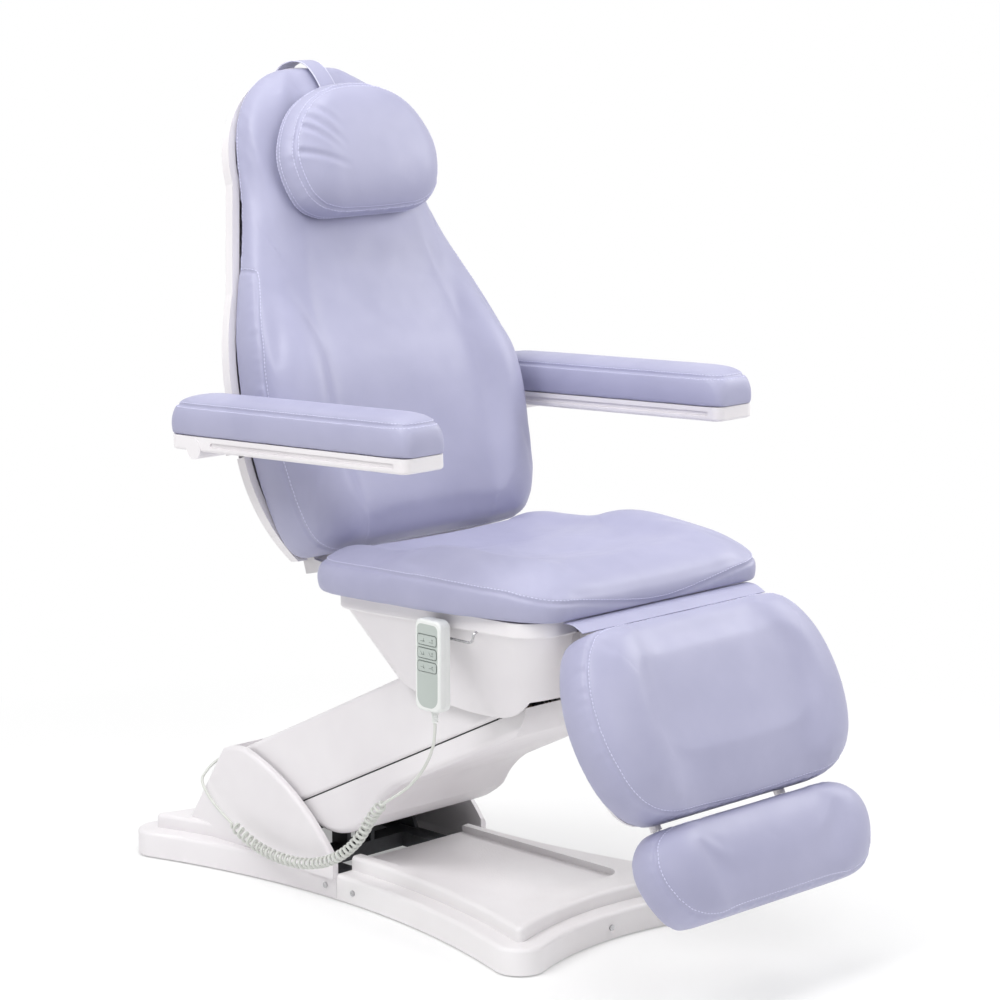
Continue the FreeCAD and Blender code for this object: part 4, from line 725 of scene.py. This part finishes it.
def stitches(name, line, surface, body):
    """A row of thread stitches along a line of a surface, each a spindle."""
    places, faces = [], []
    for before, point, after in with_neighbours(spaced(line, STITCH_STEP)):
        spot, out = surface.find_nearest(point)[:2]
        along = (after - before).normalized()
        sideways = out.cross(along).normalized()
        faces += skin(len(places), len(STITCH_PROFILE), STITCH_SIDES)
        for share, size in STITCH_PROFILE:
            for corner in range(STITCH_SIDES):
                angle = 2 * math.pi * corner / STITCH_SIDES
                around = sideways * math.cos(angle) + out * math.sin(angle)
                places.append(spot + along * (share * STITCH_LONG) + around * (size * STITCH_ROUND))
    piece = solid(name, places, faces)
    dress(piece, "thread")
    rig.ride(piece, body)


# Shaping of the pads

SWELL_PRESSURE, SWELL_STRETCH, SWELL_BEND, SWELL_FRAMES = 3, 40, 8, 20
TAUT_PASSES = 6
# How far from a seam and how high over the backing the cloth is held
SEAM_HOLD, SEAM_FIRM, BACKING_HOLD = 7 * MM, 1.6, 4 * MM
BACKING_REACH = 14 * MM
CREASE_DEEP, CREASE_WIDE = 2.2 * MM, 3.4 * MM
GATHER_REACH, GATHER_START = 26 * MM, 4 * MM
# Folds: their size, the height from which they show, and their ridges by widths of a fold
FOLD_DEEP, FOLD_WIDE, FOLD_FRONT, FOLD_EASE = 3.2 * MM, 7 * MM, 44 * MM, 8 * MM
RIDGE_PACE, RIDGE_REACH = 1.6, 1.5
# Valleys: the reach of their two sides, the share of a half wave cut off at each end, and which skin
# faces out enough to sink
VALLEY_STEEP, VALLEY_SOFT, VALLEY_END = 32 * MM, 66 * MM, 0.12
FACING_FROM, FACING_SPAN = 0.3, 0.4


def lie_on_backing(piece, where):
    """Draw the skin that the smoothing rounded off back down to the board that carries the pad."""
    places = places_of(piece.data)
    lift = local_to(where, places)[:, 2]
    share = np.clip(lift / BACKING_REACH, 0, 1)
    drop = np.where(lift < BACKING_REACH, np.clip(lift, 0, None) * (1 - share ** 2), 0)
    put(piece.data, places - outward_of(where) * drop[:, None])


def swell(piece, where, seams, cap):
    """Blow the pad up as cloth under pressure, held at its seams and at its backing."""
    rest = places_of(piece.data)
    sewn = np.clip(SEAM_FIRM - distance_to(seams, rest) / SEAM_HOLD, 0, 1)
    held = np.maximum(sewn, local_to(where, rest)[:, 2] < BACKING_HOLD)
    group = piece.vertex_groups.new(name="held")
    for index in np.nonzero(held)[0]:
        group.add([int(index)], float(held[index]), "REPLACE")
    cloth = piece.modifiers.new("cloth", "CLOTH")
    cloth.settings.vertex_group_mass = "held"
    cloth.settings.use_pressure = True
    cloth.settings.uniform_pressure_force = SWELL_PRESSURE
    cloth.settings.tension_stiffness = SWELL_STRETCH
    cloth.settings.compression_stiffness = SWELL_STRETCH
    cloth.settings.bending_stiffness = SWELL_BEND
    cloth.settings.effector_weights.gravity = 0
    cloth.collision_settings.use_collision = False
    cloth.point_cache.frame_start = 1
    cloth.point_cache.frame_end = SWELL_FRAMES
    for step in range(1, SWELL_FRAMES + 1):
        scene.frame_set(step)
    settle(piece)
    scene.frame_set(1)
    piece.vertex_groups.clear()
    moved = places_of(piece.data) - rest
    far = np.linalg.norm(moved, axis=1)
    far[far == 0] = 1
    put(piece.data, rest + moved * (np.minimum(far, cap) / far)[:, None])
    piece.modifiers.new("taut", "SMOOTH").iterations = TAUT_PASSES
    settle(piece)


def crease(piece, seams):
    """Draw the skin in along the seams."""
    mesh = piece.data
    places = places_of(mesh)
    drop = CREASE_DEEP * np.exp(-(distance_to(seams, places) / CREASE_WIDE) ** 2)
    put(mesh, places - normals_of(mesh) * drop[:, None])


def uneven(step):
    """A wave along a seam that doesn't seem to repeat."""
    return math.sin(step * 0.61) * math.sin(step * 0.137 + 1) + 0.5 * math.sin(step * 0.37 + 2)


def pucker(piece, where, line, deep):
    """Small gathers where the side band is sewn to the front panel, fading away from the seam."""
    mesh = piece.data
    places = places_of(mesh)
    lift = local_to(where, places)[:, 2]
    inward = where.inverted()
    outward = normals_of(mesh)
    tree = tree_of(line)
    for index, place in enumerate(places):
        spot, step, gap = tree.find(place)
        if gap < GATHER_REACH and (inward @ spot).z > lift[index]:
            fade = (1 - gap / GATHER_REACH) * min(1, gap / GATHER_START)
            place += outward[index] * (deep * fade * uneven(step))
    put(mesh, places)


def folds(piece, where, lines):
    """Soft creases of slack vinyl along straight lines of the front, each fading towards its end."""
    mesh = piece.data
    places = places_of(mesh)
    local = local_to(where, places)
    flat = local[:, :2]
    front = np.clip((local[:, 2] - FOLD_FRONT) / FOLD_EASE, 0, 1)
    total = np.zeros(len(places))
    for line in lines:
        first, last = np.array(line) * MM
        run = last - first
        share = ((flat - first) @ run) / (run @ run)
        gap = np.linalg.norm(flat - first - np.clip(share, 0, 1)[:, None] * run, axis=1) / FOLD_WIDE
        fade = np.clip(1 - share, 0, 1) * np.clip(1.15 + share * 4, 0, 1)
        total -= fade * np.cos(RIDGE_PACE * gap) * np.exp(-(gap / RIDGE_REACH) ** 2)
    put(mesh, places + normals_of(mesh) * (FOLD_DEEP * total * front)[:, None])


def hollows(piece, where, ways, deep):
    """Valleys along lines of the front: steep on the left of the way they run, soft on its right."""
    mesh = piece.data
    places = places_of(mesh)
    flat = local_to(where, places)[:, :2]
    out = outward_of(where)
    facing = np.clip((normals_of(mesh) @ out - FACING_FROM) / FACING_SPAN, 0, 1)
    total = np.zeros(len(places))
    for way in ways:
        line = np.array(way) * MM
        best = np.full(len(places), np.inf)
        drop = np.zeros(len(places))
        for step, (first, last) in enumerate(zip(line, line[1:])):
            run = last - first
            share = np.clip(((flat - first) @ run) / (run @ run), 0, 1)
            off = flat - first - share[:, None] * run
            gap = np.linalg.norm(off, axis=1)
            wide = np.where(run[0] * off[:, 1] - run[1] * off[:, 0] > 0, VALLEY_STEEP, VALLEY_SOFT)
            along = VALLEY_END + (1 - 2 * VALLEY_END) * (step + share) / (len(line) - 1)
            fresh = np.exp(-(gap / wide) ** 2) * np.sin(math.pi * along)
            drop = np.where(gap < best, fresh, drop)
            best = np.minimum(best, gap)
        total = np.maximum(total, drop)
    put(mesh, places - out * (deep * total * facing)[:, None])


def mirrored(way):
    """The same line on the other side, run the other way so that its steep side stays outside."""
    return tuple((-x, y) for x, y in reversed(way))


def pad(node, stand_name, body, seam_rows, voxel=6 * MM, eased=20, inset=0.8 * MM, cap=5 * MM,
        stitch_gaps=(5 * MM,), gathers=0.0, fold_lines=(), valleys=(), deep=0.0):
    """A padded piece in place of its solid: remeshed, swollen between its seams, creased and stitched."""
    where = STANDS[stand_name]
    piece = link(node + "_upholstery", frame["nodes"][node].data.copy())
    remesh = piece.modifiers.new("remesh", "REMESH")
    remesh.mode = "VOXEL"
    remesh.voxel_size = voxel
    piece.modifiers.new("smooth", "SMOOTH").iterations = eased
    settle(piece)
    put(piece.data, places_of(piece.data) - normals_of(piece.data) * inset)
    lie_on_backing(piece, where)
    surface = surface_of(piece)
    seams = [ring(surface, where, *row) for row in seam_rows]
    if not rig.quick():
        swell(piece, where, seams, cap)
    piece.modifiers.new("finer", "SUBSURF").levels = 1
    settle(piece)
    surface = surface_of(piece)
    seams = [[surface.find_nearest(point)[0] for point in line] for line in seams]
    if gathers:
        pucker(piece, where, seams[0], gathers)
    if fold_lines:
        folds(piece, where, fold_lines)
    if valleys:
        hollows(piece, where, valleys, deep)
    crease(piece, seams)
    piece.data.shade_smooth()
    dress(piece, "lilac_vinyl")
    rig.ride(piece, body)
    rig.replaces(piece, node)
    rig.padded(piece, fill=0.8)
    surface = surface_of(piece)
    for index, line in enumerate(seams):
        for row, gap in enumerate(stitch_gaps):
            stitches(f"{node}_stitching_{index}_{row}", beside(line, surface, gap), surface, body)


# Upholstery: the lines along which the bolsters rise out of the front panels, in each pad's millimetres
SEAT_DISH = ((150, -180), (110, -240), (0, -262), (-110, -240), (-150, -180))
BACK_BOLSTER = ((-150, 70), (-164, 160), (-168, 230), (-162, 310), (-157, 370), (-160, 420), (-172, 465))
LEG_BOLSTER = ((-150, -272), (-142, -230), (-150, -180), (-172, -130))
PILLOW_FOLDS = (
    ((-128, 712), (-62, 644)), ((-146, 646), (-62, 612)),
    ((-134, 690), (-76, 640)), ((-110, 726), (-60, 674)))

pad("seat_cushion", "seat", "carriage",
    [seam(-185, 290, 255, (-440, 4), (-425, 12), (-395, 26), (-330, 44), (-200, 52), (0, 50), (60, 36))],
    gathers=0.2 * MM, valleys=(SEAT_DISH,), deep=5 * MM)
pad("back_cushion", "back", "backrest",
    [seam(407, 282, 405, (0, 46), (100, 74), (350, 70), (440, 56), (470, 50), (480, 6), (812, 4))],
    gathers=0.5 * MM, valleys=(BACK_BOLSTER, mirrored(BACK_BOLSTER)), deep=9 * MM)
pad("headrest_pillow", "pillow", "headrest",
    [seam(651, 166, 111, (540, 46), (762, 44)), seam(651, 166, 111, (540, 10), (762, 10))],
    voxel=5 * MM, eased=8, stitch_gaps=(5 * MM, -5 * MM), gathers=0.7 * MM, fold_lines=PILLOW_FOLDS)
pad("legrest_cushion", "leg", "legrest",
    [seam(-163, 278, 151, (-314, 56), (-290, 64), (-220, 68), (-60, 66), (-22, 56), (-12, 42))],
    gathers=0.8 * MM, valleys=(LEG_BOLSTER, mirrored(LEG_BOLSTER)), deep=3 * MM)
pad("footrest_cushion", "leg", "footrest",
    [seam(-398, 246, 76, (-474, 56), (-450, 58), (-415, 56), (-365, 54), (-330, 44), (-322, 32))],
    voxel=5 * MM, gathers=0.8 * MM)
for side in ("left", "right"):
    pad(f"armrest_{side}_pad", f"armrest_{side}", f"armrest_{side}",
        [seam(-215, 48, 281, (-496, 48), (66, 48))],
        voxel=4.5 * MM, eased=26, inset=0.6 * MM, cap=3 * MM, stitch_gaps=(4 * MM, -4 * MM))


# Flat vinyl pieces: flap before the seat and strap of the pillow

FLAP_HALF, FLAP_THICK, FLAP_COLUMNS, FLAP_STEPS = 208 * MM, 1.4 * MM, 40, 6
FLAP_WAY = spots((0, -374, 567.4), (0, -388, 568.5), (0, -402, 565), (0, -414, 558))
STRAP_HALF, STRAP_THICK, STRAP_COLUMNS, STRAP_STEPS = 17 * MM, 1.8 * MM, 4, 10
STRAP_EDGE = 1.1 * MM


def on_back(depth, height):
    """A point in the middle of the back, from millimetres behind its front line and up along it."""
    return BACK @ (Vector((0, depth, height)) * MM)


STRAP_WAY = [on_back(depth, height) for depth, height in (
    (20, 640), (20, 704), (28, 764), (52, 812), (88, 828), (126, 826), (154, 800), (162, 764), (162, 700))]
STRAP_HELD, STRAP_PULLED = on_back(90, 720), on_back(-10, 660)


def band(name, line, half, thick, columns):
    """A flat band across the bed along a line, with its thickness and eased edges."""
    edge = thick / 2
    spread = [half * (2 * step / columns - 1) for step in range(columns + 1)]
    top, bottom = [(x, edge) for x in spread], [(x, -edge) for x in reversed(spread)]
    section = [(-half - edge, 0.0)] + top + [(half + edge, 0.0)] + bottom
    places = []
    for before, point, after in zip(line[:1] + line[:-1], line, line[1:] + line[-1:]):
        out = ACROSS.cross((after - before).normalized())
        places += [point + ACROSS * x + out * height for x, height in section]
    return solid(name, places, skin(0, len(line), len(section)), smooth=False)


def seat_flap():
    line = line_of("flap_line", FLAP_WAY, FLAP_STEPS)
    piece = band("seat_flap_vinyl", line, FLAP_HALF, FLAP_THICK, FLAP_COLUMNS)
    dress(piece, "lilac_vinyl")
    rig.blend(piece, "carriage", "legrest", start=FLAP_WAY[0], end=FLAP_WAY[-1])
    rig.replaces(piece, "seat_flap")
    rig.sheet(piece, flat=(2 * FLAP_HALF, length_of(line)), held="stretched",
             rests_on=["legrest_cushion_upholstery"])


def headrest_strap():
    """The vinyl strap that carries the pillow, with a pale bound edge on each side."""
    line = line_of("strap_line", STRAP_WAY, STRAP_STEPS)
    strap = band("headrest_strap_vinyl", line, STRAP_HALF, STRAP_THICK, STRAP_COLUMNS)
    dress(strap, "lilac_vinyl")
    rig.replaces(strap, "headrest_strap")
    pieces = [strap]
    for name, sideways in (("right", -STRAP_HALF), ("left", STRAP_HALF)):
        way = [point + ACROSS * sideways for point in STRAP_WAY]
        edge = tube(f"headrest_strap_{name}_edge", way, STRAP_EDGE, STRAP_STEPS)[0]
        dress(edge, "webbing")
        pieces.append(edge)
    for piece in pieces:
        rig.blend(piece, "backrest", "headrest", start=STRAP_HELD, end=STRAP_PULLED)


seat_flap()
headrest_strap()


# Hand control, in millimetres: face film, printed key frames and signs, ribbed sleeve of its lead

KEYS = ("lift_key", "back_key", "leg_key")
KEY_HALF, KEY_TALL, KEY_CORNER, KEY_PROUD = 20.0, 15.0, 4.0, 1.0
# The shell's face lies this far in front of the pivots of its keys
PIVOT_DEPTH = 3.0
FILM_HALF, FILM_LOW, FILM_HIGH, FILM_THICK = 22.5, 414.0, 545.0, 0.16
FILM_LOW_CORNER, FILM_HIGH_CORNER, FILM_GAP, FILM_LIFT = 17, 9, 0.7, 0.1
FRAME_GAP, FRAME_CORNER, FRAME_LIFT, FRAME_ROUND = 1.1, 4.4, 0.2, 0.32
SIGN_SIDE, SIGN_LIFT, SIGN_ROUND, ARROW_ASIDE = 9.5, 0.05, 0.26, -2.4
CORNER_STEPS = 6
SLEEVE_RIBS, SLEEVE_TALL, SLEEVE_TOP = 6, 21.0, 409
SLEEVE_THIN, SLEEVE_WIDENS = 4.5, 1.1
# One rib and the two ends of the sleeve, as pairs of height and radius
RIB = ((0, -0.1), (0.5, 0.5), (2.2, 0.5), (2.7, -0.1))
SLEEVE_FOOT = (-SLEEVE_TALL - 1, 2.6)
SLEEVE_HEAD = ((-0.4, 5.8), (1.4, 5.8), (1.6, 3.0))
LATHE_SIDES = 28

ARROW = (((0, -2.2), (0, 2.6)), ((-1.5, 1.0), (0, 2.6), (1.5, 1.0)))
BED = {
    "lift_key": (((-4.6, -2.6), (4.6, -2.6)),),
    "back_key": (((-4.6, -2.6), (1.6, -2.6), (4.4, 2.4)),),
    "leg_key": (((4.6, -1.0), (-1.2, -1.0), (-4.4, -3.6)),),
}

# Places that follow from the keys' joints and from the lead
PIVOTS = {key: Vector(JOINTS[key + "_tilt"]["pos_m"]) / MM for key in KEYS}
HAND_FACE = PIVOTS["lift_key"].x - PIVOT_DEPTH
HAND_MIDDLE = PIVOTS["lift_key"].y
LEAD_DEPTH = UPPER_LEAD[0].x / MM


def on_hand(depth, across, height):
    """A point of the hand control, across from its middle."""
    return Vector((depth, HAND_MIDDLE + across, height)) * MM


def rounded(half, low, high, low_corner, high_corner):
    """Outline of a box with round corners, as pairs across and up."""
    outline = []
    for side, middle, size, turn in ((1, low + low_corner, low_corner, -0.5),
                                     (1, high - high_corner, high_corner, 0),
                                     (-1, high - high_corner, high_corner, 0.5),
                                     (-1, low + low_corner, low_corner, 1)):
        for step in range(CORNER_STEPS + 1):
            angle = math.pi * (turn + 0.5 * step / CORNER_STEPS)
            across = side * (half - size) + size * math.cos(angle)
            outline.append((across, middle + size * math.sin(angle)))
    return outline


def key_outline(key, gap, corner):
    """The outline at a gap round a key."""
    reach = KEY_TALL / 2 + gap
    return rounded(KEY_HALF + gap, PIVOTS[key].z - reach, PIVOTS[key].z + reach, corner, corner)


def face_film():
    """Printed film on the front shell, open where the keys come through."""
    graph = bmesh.new()
    edge = rounded(FILM_HALF, FILM_LOW, FILM_HIGH, FILM_LOW_CORNER, FILM_HIGH_CORNER)
    for outline in [edge] + [key_outline(key, FILM_GAP, KEY_CORNER) for key in KEYS]:
        corners = [graph.verts.new(on_hand(HAND_FACE - FILM_LIFT, *spot)) for spot in outline]
        for first, second in zip(corners, corners[1:] + corners[:1]):
            graph.edges.new((first, second))
    bmesh.ops.triangle_fill(graph, edges=graph.edges[:], use_beauty=True)
    mesh = bpy.data.meshes.new("handset_face_film")
    graph.to_mesh(mesh)
    graph.free()
    piece = link("handset_face_film", mesh)
    thick = piece.modifiers.new("thick", "SOLIDIFY")
    thick.thickness = FILM_THICK * MM
    thick.offset = 0
    settle(piece)
    dress(piece, "key_face")
    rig.ride(piece, "handset")


def strokes(name, lines, radius, body, closed=False):
    """Printed lines as one piece: each a slim round stroke through its points."""
    curve = round_curve(name + "_lines", radius * MM, roundness=1)
    for points in lines:
        add_spline(curve, "POLY", points).use_cyclic_u = closed
    piece = link(name, meshed(link(name + "_lines", curve)))
    dress(piece, "sign_print")
    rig.ride(piece, body)


def key_prints():
    """A frame round each key, and on each half of it an arrow and the part of the bed that it moves."""
    for key in KEYS:
        outline = key_outline(key, FRAME_GAP, FRAME_CORNER)
        frame_line = [on_hand(HAND_FACE - FRAME_LIFT, *spot) for spot in outline]
        strokes(key + "_frame", [frame_line], FRAME_ROUND, "handset", closed=True)
        depth = HAND_FACE - KEY_PROUD - SIGN_LIFT
        signs = []
        for side, way in ((-SIGN_SIDE, 1), (SIGN_SIDE, -1)):
            for line in ARROW:
                signs.append([on_hand(depth, side + x + ARROW_ASIDE, PIVOTS[key].z + way * height)
                              for x, height in line])
            for line in BED[key]:
                signs.append([on_hand(depth, side + x, PIVOTS[key].z + height) for x, height in line])
        strokes(key + "_signs", signs, SIGN_ROUND, key + "_body")


def lathe(name, centre, profile):
    """A turned piece about a vertical axis, from pairs of height and radius, closed at both ends."""
    places = []
    for height, radius in profile:
        for step in range(LATHE_SIDES):
            angle = 2 * math.pi * step / LATHE_SIDES
            around = Vector((radius * math.cos(angle), radius * math.sin(angle), height))
            places.append(centre + around * MM)
    return solid(name, places, skin(0, len(profile), LATHE_SIDES))


def lead_sleeve():
    """Ribbed, tapered sleeve where the lead enters the hand control."""
    profile = [SLEEVE_FOOT]
    for rib in range(SLEEVE_RIBS):
        share = rib / SLEEVE_RIBS
        low, size = SLEEVE_TALL * (share - 1), SLEEVE_THIN + SLEEVE_WIDENS * share
        profile += [(low + height, size + radius) for height, radius in RIB]
    profile += SLEEVE_HEAD
    piece = lathe("handset_lead_sleeve", on_hand(LEAD_DEPTH, 0, SLEEVE_TOP), profile)
    dress(piece, "handset_shell")
    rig.ride(piece, "handset")


face_film()
key_prints()
lead_sleeve()


# Floor, backdrop and light

FLOOR_SPAN = 30.0
# The floor's shadow fades into white between these distances, from this share of white
FLOOR_NEAR, FLOOR_FAR, FLOOR_WHITE = 0.7, 1.7, 0.35
WORLD_LEVEL = 0.33
LAMPS = {
    # place, size and power
    "left_lamp": ((-2.6, 0.4, 3.5), 2.0, 90),
    "front_lamp": ((-0.9, -3.1, 2.5), 2.2, 38),
    "right_lamp": ((1.9, -0.9, 1.9), 1.2, 26),
    "top_lamp": ((0.0, 0.4, 4.2), 2.6, 54),
}
LAMP_AIM = Vector((0, 0, 0.6))


def white_for_camera(tree, shaded, white_kind):
    """A mix of a shaded look and plain white, and the socket that is 1 for camera, glossy and glass rays."""
    white = tree.nodes.new(white_kind)
    white.inputs["Color"].default_value = WHITE
    white.inputs["Strength"].default_value = 1.0
    path = tree.nodes.new("ShaderNodeLightPath")
    seen = path.outputs["Is Camera Ray"]
    for ray in ("Is Glossy Ray", "Is Transmission Ray"):
        either = tree.nodes.new("ShaderNodeMath")
        either.operation = "MAXIMUM"
        tree.links.new(seen, either.inputs[0])
        tree.links.new(path.outputs[ray], either.inputs[1])
        seen = either.outputs[0]
    mix = tree.nodes.new("ShaderNodeMixShader")
    tree.links.new(shaded, mix.inputs[1])
    tree.links.new(white.outputs[0], mix.inputs[2])
    return mix, seen


def pale_floor():
    """A floor that keeps its shadow near the bed and turns white further out."""
    corners = [(x * FLOOR_SPAN, y * FLOOR_SPAN, 0) for x, y in ((-1, -1), (1, -1), (1, 1), (-1, 1))]
    floor = solid("floor", corners, [(0, 1, 2, 3)], smooth=False)
    pale = Finish("pale_floor", Roughness=0.9)
    pale.colour(pale.noise(2), srgb(250, 250, 250), srgb(253, 253, 253))
    floor.data.materials.append(pale.material)
    mix, seen = white_for_camera(pale.tree, pale.shader.outputs["BSDF"], "ShaderNodeEmission")
    distance = pale.add("ShaderNodeVectorMath", {"operation": "LENGTH"}, Vector=pale.place).outputs["Value"]
    far = pale.add("ShaderNodeMath", {"operation": "MULTIPLY"})
    pale.feed(far.inputs[0], pale.span(distance, FLOOR_WHITE, 1.0, FLOOR_NEAR, FLOOR_FAR))
    pale.feed(far.inputs[1], seen)
    pale.feed(mix.inputs["Fac"], far.outputs[0])
    pale.feed(pale.tree.nodes["Material Output"].inputs["Surface"], mix.outputs["Shader"])
    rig.stage(floor)


def white_world():
    """A soft light from all round, seen as white."""
    world = bpy.data.worlds.new("studio")
    world.use_nodes = True
    scene.world = world
    tree = world.node_tree
    soft = tree.nodes["Background"]
    soft.inputs["Color"].default_value = WHITE
    soft.inputs["Strength"].default_value = WORLD_LEVEL
    mix, seen = white_for_camera(tree, soft.outputs["Background"], "ShaderNodeBackground")
    tree.links.new(seen, mix.inputs["Fac"])
    tree.links.new(mix.outputs["Shader"], tree.nodes["World Output"].inputs["Surface"])


def studio_lamps():
    for name, (spot, size, power) in LAMPS.items():
        lamp = bpy.data.lights.new(name, "AREA")
        lamp.size = size
        lamp.energy = power
        light = link(name, lamp)
        light.location = spot
        light.rotation_euler = (Vector(spot) - LAMP_AIM).to_track_quat("Z", "Y").to_euler()


pale_floor()
white_world()
studio_lamps()

with open("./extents.json", "w") as out:
    json.dump({"cad": [list(corner) for corner in cad_box],
               "visual": [list(corner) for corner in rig.bounds()]}, out)
